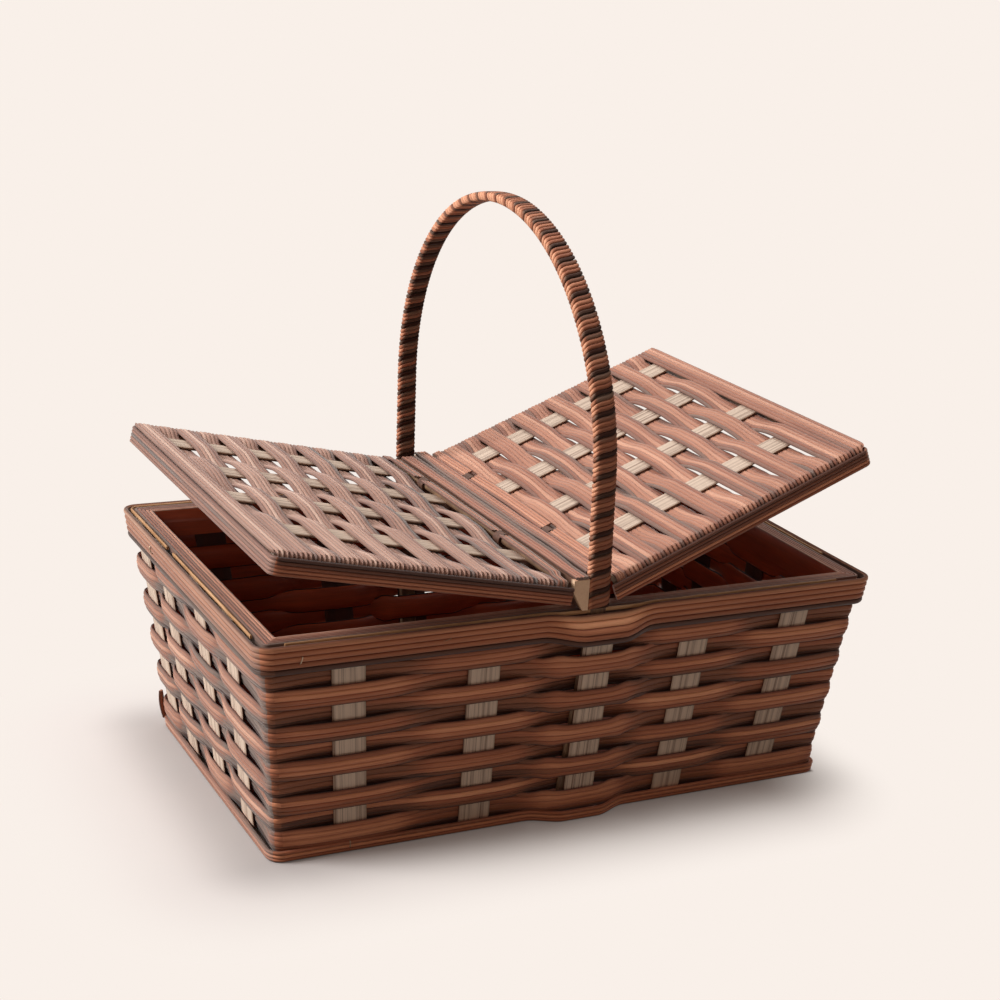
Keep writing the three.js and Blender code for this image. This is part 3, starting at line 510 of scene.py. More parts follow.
class Maker:
    """Collects lofts and turns them into one mesh with strand coordinates and tones."""

    def __init__(self):
        self.points = []
        self.faces = []
        self.places = []
        self.slots = []
        self.tones = []
        self.painted_lights = []

    def loft(self, rings, spans, tones, closed=False, lift=None, fade=None, outer=None):
        """Joins rings of points. Along each edge of a ring runs one of the spans, with the tone of its strand.

        For each ring, lift adds painted light and shade to the upper strands, fade adds painted light and shade to
        them all, and outer is the slot of the strands' material.
        """
        rings = [[Vector(point) for point in ring] for ring in rings]
        count = len(rings[0])
        first = len(self.points)
        last = len(rings) - 1
        self.points.extend(point for ring in rings for point in ring)
        reach = [0.0]
        for before, after in zip(rings, rings[1:] + rings[:1]):
            reach.append(reach[-1] + (after[0] - before[0]).length)
        for step in range(len(rings) if closed else last):
            after = (step + 1) % len(rings)
            here, there = first + step * count, first + after * count
            start, end = reach[step], reach[step + 1]
            for i, (low, high, slot) in enumerate(spans):
                j = (i + 1) % count
                self.faces.append((here + i, here + j, there + j, there + i))
                self.places.extend([(start, low), (start, high), (end, high), (end, low)])
                self.slots.append(outer[step] if outer and slot == 0 else slot)
                strand = min(len(tones) - 1, int(min(low, high)))
                self.tones.append(tones[strand] if slot == 0 else tones[0])
                for ring in (step, after):
                    # The ring's painted light and shade, kept in the fade attribute
                    painted_light = (lift[ring] if lift and strand > 2 else 0) + (fade[ring] if fade else 0)
                    self.painted_lights.extend([painted_light, painted_light])
        if not closed:
            for at, order in ((0, range(count - 1, -1, -1)), (last, range(count))):
                self.faces.append(tuple(first + at * count + i for i in order))
                self.places.extend([(reach[at], spans[i][0]) for i in order])
                self.slots.append(0)
                self.tones.append(tones[0] * 0.8)
                self.painted_lights.extend([0.0] * count)
        return self

    def piece(self, name, finishes, slot, *nodes, body="basket", place=None):
        """Adds the piece, which rides on its body, has the materials of its finishes and stands for its nodes. The
        slot is not used.
        """
        mesh = bpy.data.meshes.new(name)
        mesh.from_pydata(self.points, [], self.faces)
        layer = mesh.uv_layers.new(name="Strand")
        layer.data.foreach_set("uv", [value for pair in self.places for value in pair])
        mesh.polygons.foreach_set("material_index", self.slots)
        mesh.polygons.foreach_set("use_smooth", [True] * len(self.faces))
        # The fade attribute holds painted light and shade for the strand finishes
        for attribute, domain, values in (("tone", "FACE", self.tones), ("fade", "CORNER", self.painted_lights)):
            mesh.attributes.new(attribute, "FLOAT", domain).data.foreach_set("value", values)
        if place is not None:
            mesh.transform(place)
        shape = bmesh.new()
        shape.from_mesh(mesh)
        if shape.calc_volume(signed=True) < 0:
            bmesh.ops.reverse_faces(shape, faces=shape.faces[:])
        shape.to_mesh(mesh)
        shape.free()
        mesh.set_sharp_from_angle(angle=SHARP_ANGLE)
        for finish in finishes:
            mesh.materials.append(finish_of(finish))
        mesh.validate()
        made = bpy.data.objects.new(name, mesh)
        bpy.context.scene.collection.objects.link(made)
        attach(made, body)
        if nodes:
            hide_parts(*nodes)


def dress_node(node, finish):
    """Gives a node of the solid model its finish."""
    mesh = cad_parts[node].data
    mesh.materials.clear()
    mesh.materials.append(finish_of(finish))


# Walls


SIDES = ("front", "right", "back", "left")
CORNER_SIGNS = ((1, -1), (1, 1), (-1, 1), (-1, -1))
CROSS_STAKE_PLACES = (-0.749, -0.321, 0.043, 0.401, 0.764)
LONG_STAKE_PLACES = (-0.554, -0.082, 0.465, 0.831)
MIDDLE_STAKE = 2
MIDDLE_STAKE_BACK_PLACE = -0.026
STATION = 0.004
CORNER_STEPS = 6
CORNER_LEAST = 0.001
WEAVER_CLEAR = 0.0002


class Walls:
    """The leaning walls. Places on them are measured from the middle surface of the upright slats."""

    def __init__(self):
        scene = bpy.context.scene
        self.body = body = scene.basket_body
        self.handle = handle = scene.basket_handle
        half_stake = body.stake_thickness / 2
        self.hoop = half_stake + body.fit
        shell = body.rim_band_thickness + self.hoop
        self.rim = (body.rim_length / 2 - shell, body.rim_width / 2 - shell)
        shell = body.foot_band_thickness + self.hoop
        self.foot = (body.foot_length / 2 - shell, body.foot_width / 2 - shell)
        self.quarter = body.corner_radius * math.pi / 2
        self.base_lift = half_stake + body.stake_thickness + 2 * body.fit
        self.stake_out = handle.leg_out + handle.core_thickness / 2 + body.fit + half_stake
        self.bulge_out = self.stake_out + body.bulge_clear
        self.weaver_out = body.slat_thickness / 2 + body.weaver_thickness / 2 + WEAVER_CLEAR
        self.middle_in = handle.leg_out - handle.core_thickness / 2 - body.fit - body.weaver_thickness / 2
        self.stakes = self.stakes_round()
        self.stations, self.total = self.stations_round()
        start = self.total - 2 * self.straight("left") - 1.5 * self.quarter
        end = self.total - self.quarter / 2
        # The slot of the greyer copy of the strands along the left wall, painted sheen where the key lamp falls, and
        # of the warm copy, painted warm light in the shade, along the others
        self.outer_slots = [2 if start < distance < end else 0 for distance, _ in self.stations]

    def half(self, axis, z):
        return mix(self.foot[axis], self.rim[axis], z / self.body.rim_height)

    def shift(self, z):
        """How far the middle of the body lies to the right at a height."""
        return self.body.foot_shift * (1 - z / self.body.rim_height)

    def on_side(self, side, share, z, out):
        """A point of a wall. The share goes from -1 to 1 along its straight part."""
        lengthwise = side in ("front", "back")
        straight = self.half(0 if lengthwise else 1, z) - self.body.corner_radius
        reach = straight + min(0, self.body.corner_radius + out - CORNER_LEAST)
        along = max(-reach, min(reach, share * straight))
        away = (1 if side in ("back", "right") else -1) * (self.half(1 if lengthwise else 0, z) + out)
        x, y = (along, away) if lengthwise else (away, along)
        return Vector((self.shift(z) + x, y, z))

    def on_corner(self, index, turn, z, out):
        """A point of the corner after a side, with the turn going from 0 to a quarter circle."""
        sign_x, sign_y = CORNER_SIGNS[index]
        way = turn + math.pi / 2 * (index - 1)
        turning = max(self.body.corner_radius + out, CORNER_LEAST)
        x = self.shift(z) + sign_x * (self.half(0, z) + out - turning) + turning * math.cos(way)
        y = sign_y * (self.half(1, z) + out - turning) + turning * math.sin(way)
        return Vector((x, y, z))

    def straight(self, side):
        """Half the straight length of a wall at the rim."""
        return self.rim[0 if side in ("front", "back") else 1] - self.body.corner_radius

    def stations_round(self):
        """Stations all round, each with its distance along the rim and a function of height and distance out."""
        found = []
        start = 0.0
        for index, side in enumerate(SIDES):
            half = self.straight(side)
            run = 1 if side in ("front", "right") else -1
            for at in steps_between(0, 2 * half, STATION):
                found.append((start + at, partial(self.on_side, side, run * (at / half - 1))))
            start += 2 * half
            for turn in quarter_turns(CORNER_STEPS):
                found.append((start + self.body.corner_radius * turn, partial(self.on_corner, index, turn)))
            start += self.quarter
        return found, start

    def stakes_round(self):
        """Each slat as its distance along the rim and whether it is a middle one, in the order of the stations."""
        crossing = [share * self.rim[0] for share in CROSS_STAKE_PLACES]
        behind = list(crossing)
        behind[MIDDLE_STAKE] = MIDDLE_STAKE_BACK_PLACE * self.rim[0]
        along = [share * self.rim[1] for share in LONG_STAKE_PLACES]
        middles = (crossing[MIDDLE_STAKE], behind[MIDDLE_STAKE])
        found = []
        start = 0.0
        for side, places in zip(SIDES, (crossing, along, behind, along)):
            half = self.straight(side)
            run = 1 if side in ("front", "right") else -1
            for at in places[::run]:
                found.append((start + half + run * at, side in ("front", "back") and at in middles))
            start += 2 * half + self.quarter
        return found

    def bulge(self, distance):
        """How far the outer hoops stand out at a distance round, to clear the slats outside the handle's feet."""
        flat, run = self.body.bulge_flat, self.body.bulge_run
        for at, is_middle in self.stakes:
            gap = abs((distance - at + self.total / 2) % self.total - self.total / 2)
            if is_middle and gap < flat + run:
                return self.bulge_out * smooth((flat + run - gap) / run)
        return 0.0


def wave(knots, total):
    """A function of the distance round that holds each knot's value near it and eases from one to the next."""

    def at(distance):
        for i, (here, value, flat) in enumerate(knots):
            after, next_value, next_flat = knots[(i + 1) % len(knots)]
            gap = (after - here) % total
            past = (distance - here) % total
            if past <= gap:
                share = (past - flat) / max(1e-6, gap - flat - next_flat)
                return [mix(a, b, smooth(share)) for a, b in zip(value, next_value)]
        return knots[0][1]

    return at


# The lowest strand is darkest: partly the strands' own colour, partly painted shade on the band's lower edge
WEAVER_PATTERN = (0.32, 0.58, 0.76, 0.54)
WEAVER_ROUND = 0.0006
WEAVER_WOBBLE = 0.0004
# Half the length over which a band stays in front of a slat or behind it
FLAT_OVER = 0.0085
FLAT_UNDER = 0.012
# How much a band widens between two slats, and how much more beside the handle's feet
CROSSING_WIDER = 0.0004
FOOT_WIDER = 0.0028
LAST_ROW_LOWER = 0.0025
# Painted shade: how much darker a band is drawn where it dives behind a slat
DIVE_PAINTED_SHADE = -0.34


def weave_rows(body):
    """The height of the middle of each row, from the top one down."""
    low = body.foot_band_height + body.fit
    high = body.rim_height - body.rim_band_height - body.fit
    rows = int((high - low) / (body.weaver_height + body.fit) + 1e-4)
    pitch = (high - low) / rows
    return [high - pitch * (row + 0.5) for row in range(rows)]


def add_weavers(walls):
    body = walls.body
    outline, spans = ribbed_section(4, body.weaver_thickness / 2 + WEAVER_CLEAR, WEAVER_ROUND, body.weaver_crown)
    rows = weave_rows(body)
    half_pitch = (rows[0] - rows[1]) / 2
    for row, middle in enumerate(rows, 1):
        knots = []
        for j, (at, is_middle) in enumerate(walls.stakes):
            over = -1 if (row + j) % 2 else 1
            out = over * walls.weaver_out
            if is_middle:
                out = walls.stake_out + walls.weaver_out if over > 0 else walls.middle_in
            knots.append((at, (out, over), FLAT_OVER if over > 0 else FLAT_UNDER))
        line = wave(knots, walls.total)
        rings = []
        fade = []
        for distance, on in walls.stations:
            out, over = line(distance)
            # Painted shade where the band dives behind a slat
            fade.append(DIVE_PAINTED_SHADE * smooth((0.7 - over) / 1.3))
            height = middle + wobble(distance * 16, row * 7.3, 0, WEAVER_WOBBLE)
            foot = walls.bulge(distance) / walls.bulge_out
            tall = half_pitch + (CROSSING_WIDER + FOOT_WIDER * foot) * smooth(1.6 - abs(over) * 1.6)
            tall += (body.weaver_over if over > 0 else body.weaver_under) * smooth(abs(over) * 1.5)
            low = tall + (LAST_ROW_LOWER if row == len(rows) else 0)
            rings.append([on(height + across * (tall if across > 0 else low), out + o) for o, across in outline])
        maker = Maker().loft(rings, spans, strand_tones(row, WEAVER_PATTERN), True, None, fade, walls.outer_slots)
        maker.piece(f"woven_band_{row:02d}", ["woven", "inner", "woven_grey"], "woven_band", f"weaver_{row:02d}")


# Upright slats


STAKE_STEP = 0.02
BEND_STEPS = 8
# The middle slats stop lower, under the bulge of the rim, and a wave has room at each side of a slat
MIDDLE_STAKE_LOWER = 0.006
WAVE_ROOM = 0.003


def with_normals(line):
    """Each point of a side view with its direction to the left of the way."""
    for i, (p, z) in enumerate(line):
        before, after = line[max(0, i - 1)], line[min(len(line) - 1, i + 1)]
        run = Vector((after[0] - before[0], after[1] - before[1])).normalized()
        yield p, z, run.y, -run.x


def stake_line(walls, axis, out, waves, lower=0.0):
    """The side view of a slat: down a wall, round a bend, over the base and up again, with its outer direction."""
    body = walls.body
    top = body.rim_height - body.stake_top - lower
    bend_top = walls.base_lift + body.stake_bend
    turn = walls.half(axis, walls.base_lift) + out
    shift = walls.shift if axis == 0 else lambda z: 0
    side = [(walls.half(axis, z) + out, z) for z in steps_between(top, bend_top, STAKE_STEP)]
    start = walls.half(axis, bend_top) + out
    for step in range(1, BEND_STEPS + 1):
        t = step / BEND_STEPS
        p = (1 - t) ** 2 * start + 2 * t * (1 - t) * turn + t**2 * (turn - body.stake_bend)
        side.append((p, (1 - t) ** 2 * bend_top + (2 * t * (1 - t) + t**2) * walls.base_lift))
    line = [(-p, z) for p, z in side] + waves + side[::-1]
    return with_normals([(p + shift(z), z) for p, z in line])


def cross_place(walls, k, p):
    """Where a cross slat lies along the basket, as a share: the middle one runs a little askew."""
    front = CROSS_STAKE_PLACES[k]
    back = MIDDLE_STAKE_BACK_PLACE if k == MIDDLE_STAKE else front
    share = min(1, max(0, (p + walls.foot[1]) / (2 * walls.foot[1])))
    return mix(front, back, share)


def add_stakes(walls):
    body = walls.body
    half = body.stake_width / 2
    base = walls.base_lift
    outline, spans = slat_section(body.slat_thickness / 2, 1)
    finishes = ["slat", "stained"]
    for k in range(len(CROSS_STAKE_PLACES)):
        out, lower = (walls.stake_out, MIDDLE_STAKE_LOWER) if k == MIDDLE_STAKE else (0, 0.0)
        rings = []
        for p, z, np, nz in stake_line(walls, 1, out, [], lower):
            x = walls.shift(z) + cross_place(walls, k, p) * walls.half(0, z)
            rings.append([(x + w * half, p + np * t, z + nz * t) for t, w in outline])
        maker = Maker().loft(rings, spans, [0.3 + 0.13 * k])
        maker.piece(f"cross_slat_{k + 1}", finishes, "pale_slat", f"cross_stake_{k + 1}")
    lift = body.stake_thickness + body.fit
    for j, share in enumerate(LONG_STAKE_PLACES):
        waves = []
        for k in range(len(CROSS_STAKE_PLACES)):
            x = cross_place(walls, k, share * walls.half(1, base)) * walls.half(0, base)
            z = base + (lift if (j + k) % 2 == 0 else -lift)
            waves += [(x - half - WAVE_ROOM, z), (x + half + WAVE_ROOM, z)]
        rings = []
        for p, z, np, nz in stake_line(walls, 0, 0, waves):
            y = share * walls.half(1, z)
            rings.append([(p + np * t, y + w * half, z + nz * t) for t, w in outline])
        maker = Maker().loft(rings, spans, [0.25 + 0.17 * j])
        maker.piece(f"long_slat_{j + 1}", finishes, "pale_slat", f"long_stake_{j + 1}")


# Rim and foot


HOOP_WOBBLE = 0.0002
# How much of its way out the rim's top edge stays back at the handle's feet, and how much painted light the rim's
# upper strands get there
BULGE_LEAN = 0.78
BULGE_PAINTED_LIGHT = 0.42
# The lowest strand is near black: partly a darker strand, partly painted shade under the hoop
RIM_TONES = (0.05, 0.48, 0.64, 0.6, 0.74)
RIM_ROUND = 0.0014
RIM_TOP_GAP = 0.0002
LEDGE_TONES = (0.36, 0.5, 0.46, 0.72, 0.84)
FOOT_TONES = (0.5, 0.72, 0.45)
FOOT_ROUND = 0.0012


def add_hoop(walls, name, node, kind, low, high, thickness, tones, round_by):
    """An outer hoop. The rim also leans back, dips and gets painted light on its upper strands at the handle's feet.
    """
    outline, spans = ribbed_section(len(tones), thickness / 2, round_by)
    is_rim = kind == "rim"
    rings = []
    lift = []
    for distance, on in walls.stations:
        bulge = walls.bulge(distance)
        pull = bulge / walls.bulge_out if is_rim else 0
        # Painted highlight on the upper strands where the rim leans out over the handle's feet
        lift.append(BULGE_PAINTED_LIGHT * smooth(pull))
        out = walls.hoop + thickness / 2 + bulge
        middle = (low + high) / 2 + wobble(distance * 11, high * 90, 3, HOOP_WOBBLE) - pull * walls.body.bulge_drop
        ring = []
        for o, w in outline:
            back = bulge * BULGE_LEAN * smooth((w + 0.35) / 1.35) if is_rim else 0
            ring.append(on(middle + w * (high - low) / 2, out - back + o))
        rings.append(ring)
    maker = Maker().loft(rings, spans, tones, closed=True, lift=lift, outer=walls.outer_slots)
    maker.piece(name, [kind, kind, kind + "_grey"], "binding_band", node)


def add_ledge(walls):
    """The thick inner hoop, with strands along its top and a smooth varnished inner face."""
    body = walls.body
    top = body.rim_height - body.inner_band_drop
    outline, spans = ledge_section(len(LEDGE_TONES), body.inner_band_thickness, body.inner_band_height)
    rings = []
    for distance, on in walls.stations:
        height = top + wobble(distance * 9, 5, 1, HOOP_WOBBLE)
        rings.append([on(height + up, out - walls.hoop) for out, up in outline])
    maker = Maker().loft(rings, spans, LEDGE_TONES, closed=True)
    maker.piece("inner_rim_ledge", ["lid_pink", "rim_inside"], "woven_band", "inner_rim")


def add_rims(walls):
    body = walls.body
    low, high = body.rim_height - body.rim_band_height, body.rim_height - RIM_TOP_GAP
    thickness = body.rim_band_thickness
    add_hoop(walls, "outer_rim_band", "outer_rim", "rim", low, high, thickness, RIM_TONES, RIM_ROUND)
    add_ledge(walls)
    high, thickness = body.foot_band_height, body.foot_band_thickness
    add_hoop(walls, "foot_rim_band", "foot_band", "woven", 0.0, high, thickness, FOOT_TONES, FOOT_ROUND)
    add_filler(walls)
    add_staples(walls)
    add_loose_end(walls)


# The runs of the filler reed as shares of the way round, with the open joints between them
FILLER_RUNS = ((0.005, 0.288), (0.335, 0.6), (0.62, 0.868), (0.872, 0.985))
FILLER_DEPTH = 0.0022
FILLER_HALF = 0.0007
FILLER_TOP_HALF = 0.0003
FILLER_EASE = 0.0005
FILLER_WORN = 0.0006
FILLER_MOST_OUT = 0.002


def add_filler(walls):
    """The thin golden reed that fills the slot between the rim hoops."""
    high = walls.body.rim_height
    side = [(FILLER_HALF, high - FILLER_DEPTH), (FILLER_HALF, high - FILLER_EASE), (FILLER_TOP_HALF, high)]
    outline = [(-side[0][0], side[0][1]), *side, *((-out, z) for out, z in side[:0:-1])]
    maker = Maker()
    for start, end in FILLER_RUNS:
        rings = []
        for distance, on in walls.stations:
            if start * walls.total <= distance <= end * walls.total:
                lower = abs(wobble(distance * 30, 2, 9, FILLER_WORN))
                out = min(FILLER_MOST_OUT, walls.bulge(distance) * 0.6)
                rings.append([on(z - lower, out + o) for o, z in outline])
        maker.loft(rings, [(0.0, 1.0, 0)] * len(outline), [0.6])
    maker.piece("rim_filler_reed", ["reed"], "pale_slat")


# Staples: side, share along its straight part, height and which way they point
STAPLES = (
    ("front", -0.47, 0.1345, 0.25),
    ("front", -0.92, 0.1325, 1.2),
    ("front", -0.07, 0.1325, 1.45),
    ("front", -0.78, 0.0052, 1.5),
    ("right", 0.3, 0.133, 1.3),
    ("back", 0.4, 0.133, 1.4),
    ("left", 0.55, 0.133, 1.3),
)
STAPLE_RADIUS = 0.00035
STAPLE_HALF = 0.0024
STAPLE_RISE = 0.0008
STAPLE_SINK = 0.0004


def add_staples(walls):
    """Short wire staples that hold the rim hoops and the foot band."""
    body = walls.body
    maker = Maker()
    circle = [math.pi * k / 3 for k in range(6)]
    for side, share, z, lean in STAPLES:
        hoop = walls.hoop + (body.foot_band_thickness if z < body.foot_band_height else body.rim_band_thickness)
        straight = walls.straight(side)
        rings = []
        for step in range(9):
            t = step / 4 - 1
            out = hoop + STAPLE_RISE * (1 - t**6) - STAPLE_SINK
            along = share + t * STAPLE_HALF * math.cos(lean) / straight
            height = z + t * STAPLE_HALF * math.sin(lean)
            ring = []
            for turn in circle:
                beside, above = STAPLE_RADIUS * math.cos(turn), STAPLE_RADIUS * math.sin(turn)
                ring.append(walls.on_side(side, along + beside / straight, height, out + above))
            rings.append(ring)
        maker.loft(rings, [(0.0, 0.9, 0)] * len(circle), [0.5])
    maker.piece("rim_staples", ["wire"], "binding_band")


LOOSE_END_LOW = 0.006
LOOSE_END_HIGH = 0.023
LOOSE_END_WIDTH = 0.0032
LOOSE_END_HALF = 0.0009
LOOSE_END_ROUND = 0.0005
LOOSE_END_OUT = 0.0034
LOOSE_END_BOW = 0.0008
LOOSE_END_TONES = (0.5, 0.4, 0.6)
LOOSE_END_CORNER = 2
LOOSE_END_TURN = math.radians(62)


def add_loose_end(walls):
    """The short end of a band that stands off the back left corner near the foot."""
    outline, spans = ribbed_section(len(LOOSE_END_TONES), LOOSE_END_HALF, LOOSE_END_ROUND)
    out = Vector((-0.72, 0.69, 0))
    side = Vector((0.69, 0.72, 0))
    rings = []
    for step in range(13):
        t = step / 12
        z = mix(LOOSE_END_LOW, LOOSE_END_HIGH, t)
        off = LOOSE_END_OUT + LOOSE_END_BOW * math.sin(3 * t)
        base = walls.on_corner(LOOSE_END_CORNER, LOOSE_END_TURN, z, off)
        width = LOOSE_END_WIDTH * (1 - 0.5 * t**3)
        rings.append([base + out * o + side * (across * width) for o, across in outline])
    maker = Maker().loft(rings, spans, LOOSE_END_TONES)
    maker.piece("loose_band_end", ["woven", "woven"], "binding_band")


# Handle


ARCH_STEPS = 128


class Arch:
    """The middle line of the handle: straight legs and half an ellipse."""

    def __init__(self, walls):
        self.handle = handle = walls.handle
        self.rim = walls.body.rim_height
        self.half = walls.rim[1] + handle.leg_out
        spring = self.rim + handle.leg
        line = [(-self.half, self.rim)]
        for step in range(ARCH_STEPS + 1):
            turn = math.pi * step / ARCH_STEPS
            line.append((-self.half * math.cos(turn), spring + (handle.rise - handle.leg) * math.sin(turn)))
        line.append((self.half, self.rim))
        self.line = [Vector((self.across_at(y, z), y, z)) for y, z in line]
        self.reach = [0.0]
        for before, after in zip(self.line, self.line[1:]):
            self.reach.append(self.reach[-1] + (after - before).length)

    def across_at(self, y, z):
        handle = self.handle
        twist = (handle.foot_x - handle.foot_back_x) / (2 * self.half)
        above = max(0, z - self.rim) / handle.rise
        return (handle.foot_x + handle.foot_back_x) / 2 - twist * y - handle.lean * above

    def at(self, distance, margin):
        """The point at a distance from the front foot, with the directions of the strip's width and thickness."""
        distance = max(margin, min(self.reach[-1] - margin, distance))
        i = 1
        while i < len(self.line) - 1 and self.reach[i] < distance:
            i += 1
        t = (distance - self.reach[i - 1]) / (self.reach[i] - self.reach[i - 1])
        point = self.line[i - 1].lerp(self.line[i], t)
        here = (self.line[i] - self.line[i - 1]).normalized()
        near = max(1, i - 1) if t < 0.5 else min(len(self.line) - 1, i + 1)
        other = (self.line[near] - self.line[near - 1]).normalized()
        tangent = here.lerp(other, abs(t - 0.5)).normalized()
        wide = (Vector((1, 0, 0)) - tangent * tangent.x).normalized()
        return point, wide, tangent.cross(wide)


# The first strand is darkest: painted shade in the gap between turns
WRAP_PATTERN = (0.0, 0.42, 0.66, 0.4)
WRAP_ROUND = 0.00075
WRAP_SIDES = 18
WRAP_SLACK = 0.0003
WRAP_SLACK_CHANGE = 0.05
WRAP_MARGIN = 0.0006
WRAP_SQUARENESS = 0.55
WRAP_WIDER = 1.05
# The back leg is slimmer and has painted shade, the top has painted light, and so has the left side of each turn,
# which faces the key lamp
BACK_LEG_Y = 0.09
BACK_LEG_SLIMMER = 0.12
BACK_LEG_PAINTED_SHADE = -0.27
TOP_PAINTED_LIGHT = 0.07
TOP_START = 0.72
LEFT_PAINTED_LIGHT = 0.42


def add_handle(walls):
    """The band that is wound round the handle, one unbroken helix of strands."""
    handle = walls.handle
    arch = Arch(walls)
    outline, spans = ribbed_section(4, handle.wrap_thickness / 2, WRAP_ROUND, facets=5)
    first = WRAP_MARGIN - handle.wrap_width / 2
    travel = arch.reach[-1] - 2 * first
    rings = []
    fade = []
    for step in range(int(travel / handle.wrap_pitch * WRAP_SIDES) + 1):
        middle = first + handle.wrap_pitch * step / WRAP_SIDES
        turn = 2 * math.pi * step / WRAP_SIDES
        slack = wobble(step * WRAP_SLACK_CHANGE, 4, 1, WRAP_SLACK)
        at = arch.at(middle, WRAP_MARGIN)[0]
        behind = smooth(at.y / BACK_LEG_Y)
        high = smooth((at.z - arch.rim - handle.rise * TOP_START) / (handle.rise * (1 - TOP_START)))
        left = smooth(-1.6 * math.cos(turn) - 0.6)
        # Painted light on the top and the turns' left sides, painted shade on the back leg
        fade.append(TOP_PAINTED_LIGHT * high + BACK_LEG_PAINTED_SHADE * behind * (1 - high) + LEFT_PAINTED_LIGHT * left)
        w, t = (math.copysign(abs(part) ** WRAP_SQUARENESS, part) for part in (math.cos(turn), math.sin(turn)))
        ring = []
        for out, across in outline:
            margin = WRAP_MARGIN * (1 + 0.1 * across)
            point, wide, thick = arch.at(middle + slack + across * handle.wrap_width / 2, margin)
            grow = walls.body.fit + handle.wrap_thickness / 2 + out
            reach = (handle.core_width / 2 + grow * WRAP_WIDER) * (1 - BACK_LEG_SLIMMER * behind)
            ring.append(point + wide * (w * reach) + thick * (t * (handle.core_thickness / 2 + grow)))
        rings.append(ring)
    maker = Maker().loft(rings, spans, WRAP_PATTERN, fade=fade)
    maker.piece("handle_binding", ["bound", "bound"], "binding_band", "handle_wrap")
    dress_node("handle_core", "core")


# Centre bar


# The bands over the bar: side, name and tones
BAR_COVERS = ((-1, "left", (0.3, 0.5, 0.42, 0.6)), (1, "right", (0.36, 0.56, 0.66, 0.5)))
BAR_COVER_INNER = 0.0001
BAR_COVER_INNER_AT_LEG = 0.0019
BAR_COVER_OUTER = 0.0111
BAR_COVER_LIFT = 0.0011
BAR_COVER_SHORTER = 0.0085
BAR_COVER_GAP = 0.0012
BAR_COVER_WAVE = 0.0006
BAR_COVER_WAVES = 40
BAR_COVER_HALF = 0.0009
BAR_COVER_ROUND = 0.0007
BAR_COVER_WOBBLE = 0.0004
# Where a cover gives way to the front leg, where the right one has a gap, and over what length
BAR_LEG_START = 0.085
BAR_GAP_Y = 0.07
BAR_EASE = 0.03


def add_centre_bar():
    """The two bands that cover the bar, and the finish of the bar, the floor and the ties that hold the lids."""
    low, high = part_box("centre_bar")
    outline, spans = ribbed_section(4, BAR_COVER_HALF, BAR_COVER_ROUND)
    for side, name, tones in BAR_COVERS:
        rings = []
        for y in steps_between(low.y, high.y - BAR_COVER_SHORTER, STATION):
            inner = mix(BAR_COVER_INNER, BAR_COVER_INNER_AT_LEG, smooth((-y - BAR_LEG_START) / BAR_EASE))
            inner += BAR_COVER_GAP * smooth(1 - abs(y - BAR_GAP_Y) / BAR_EASE) * (side > 0)
            outer = BAR_COVER_OUTER - BAR_COVER_WAVE * (1 + math.sin(BAR_COVER_WAVES * y + side)) / 2
            middle, half = (inner + outer) / 2, (outer - inner) / 2
            z = high.z + BAR_COVER_LIFT + wobble(y * 25, side, 8, BAR_COVER_WOBBLE)
            rings.append([(side * (middle + across * half), -side * y, z + out) for out, across in outline])
        maker = Maker().loft(rings, spans, strand_tones(70 + side, tones))
        maker.piece(f"bar_cover_{name}", ["cover", "inner"], "woven_band")
    dress_node("centre_bar", "bar")
    dress_node("floor_panel", "board")
    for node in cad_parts:
        if "hinge_loop" in node:
            dress_node(node, "tie")


# Lids


LID_SLAT_PLACES = (-0.55, -0.115, 0.313, 0.748)
LID_BANDS = 13
LID_PATTERN = (0.46, 0.62, 0.82, 0.74, 0.6)
LID_EDGE_PATTERN = (0.5, 0.7, 0.35, 0.75, 0.6)
LID_BAND_ROUND = 0.0006
LID_END_ROUND = 0.0021
LID_WOBBLE = 0.0004
LID_STEP = 0.003
FIRST_BAND_GAP = 0.0027
BAND_WIDER_OVER = 0.0003
# How far a band stays over or under beyond a slat's edge
STAY_OVER = -0.0015
STAY_UNDER = 0.0022
EARLY_DIVE = 0.002
# The radius of a band's turn at the lid's edge, in thicknesses, and how it keeps inside the corner
BAND_TURN = 0.9
CORNER_SHY = 0.0004
CORNER_DROP = 0.0015
END_SLAT_GAP = 0.001
RAIL_LIFT = 0.0008
PIN_SIDES = 16
EDGE_START = -0.004
EDGE_STEP = 0.006
EDGE_ROUND = 0.001
# Painted shade on the upper strands of the edge band along the front
FRONT_EDGE_PAINTED_SHADE = -0.5
TOP_CORNER = 0.006
# The hinge loops as shares of half the width, and the room beside each
LOOP_GAPS = (-0.3325, 0.5305)
LOOP_ROOM = 0.0048
LEG_START = 0.115
LEG_EASE = 0.005
ROD_PATTERNS = {-1: (0.36, 0.5, 0.44, 0.54), 1: (0.66, 0.84, 0.92, 0.7)}
ROD_COVER_LIFT = 0.0009
ROD_COVER_LOW_LIFT = -0.0003
ROD_COVER_BEND = 0.0016
ROD_COVER_TAIL = 0.0045
ROD_COVER_INNER = -0.0027
ROD_COVER_OUTER = 0.0058
ROD_COVER_INNER_AT_LEG = -0.0002
ROD_COVER_KINK = 0.0007
ROD_COVER_KINKS = 30
ROD_COVER_HALF = 0.0007
ROD_COVER_ROUND = 0.0006
ROD_COVER_WOBBLE = 0.0002


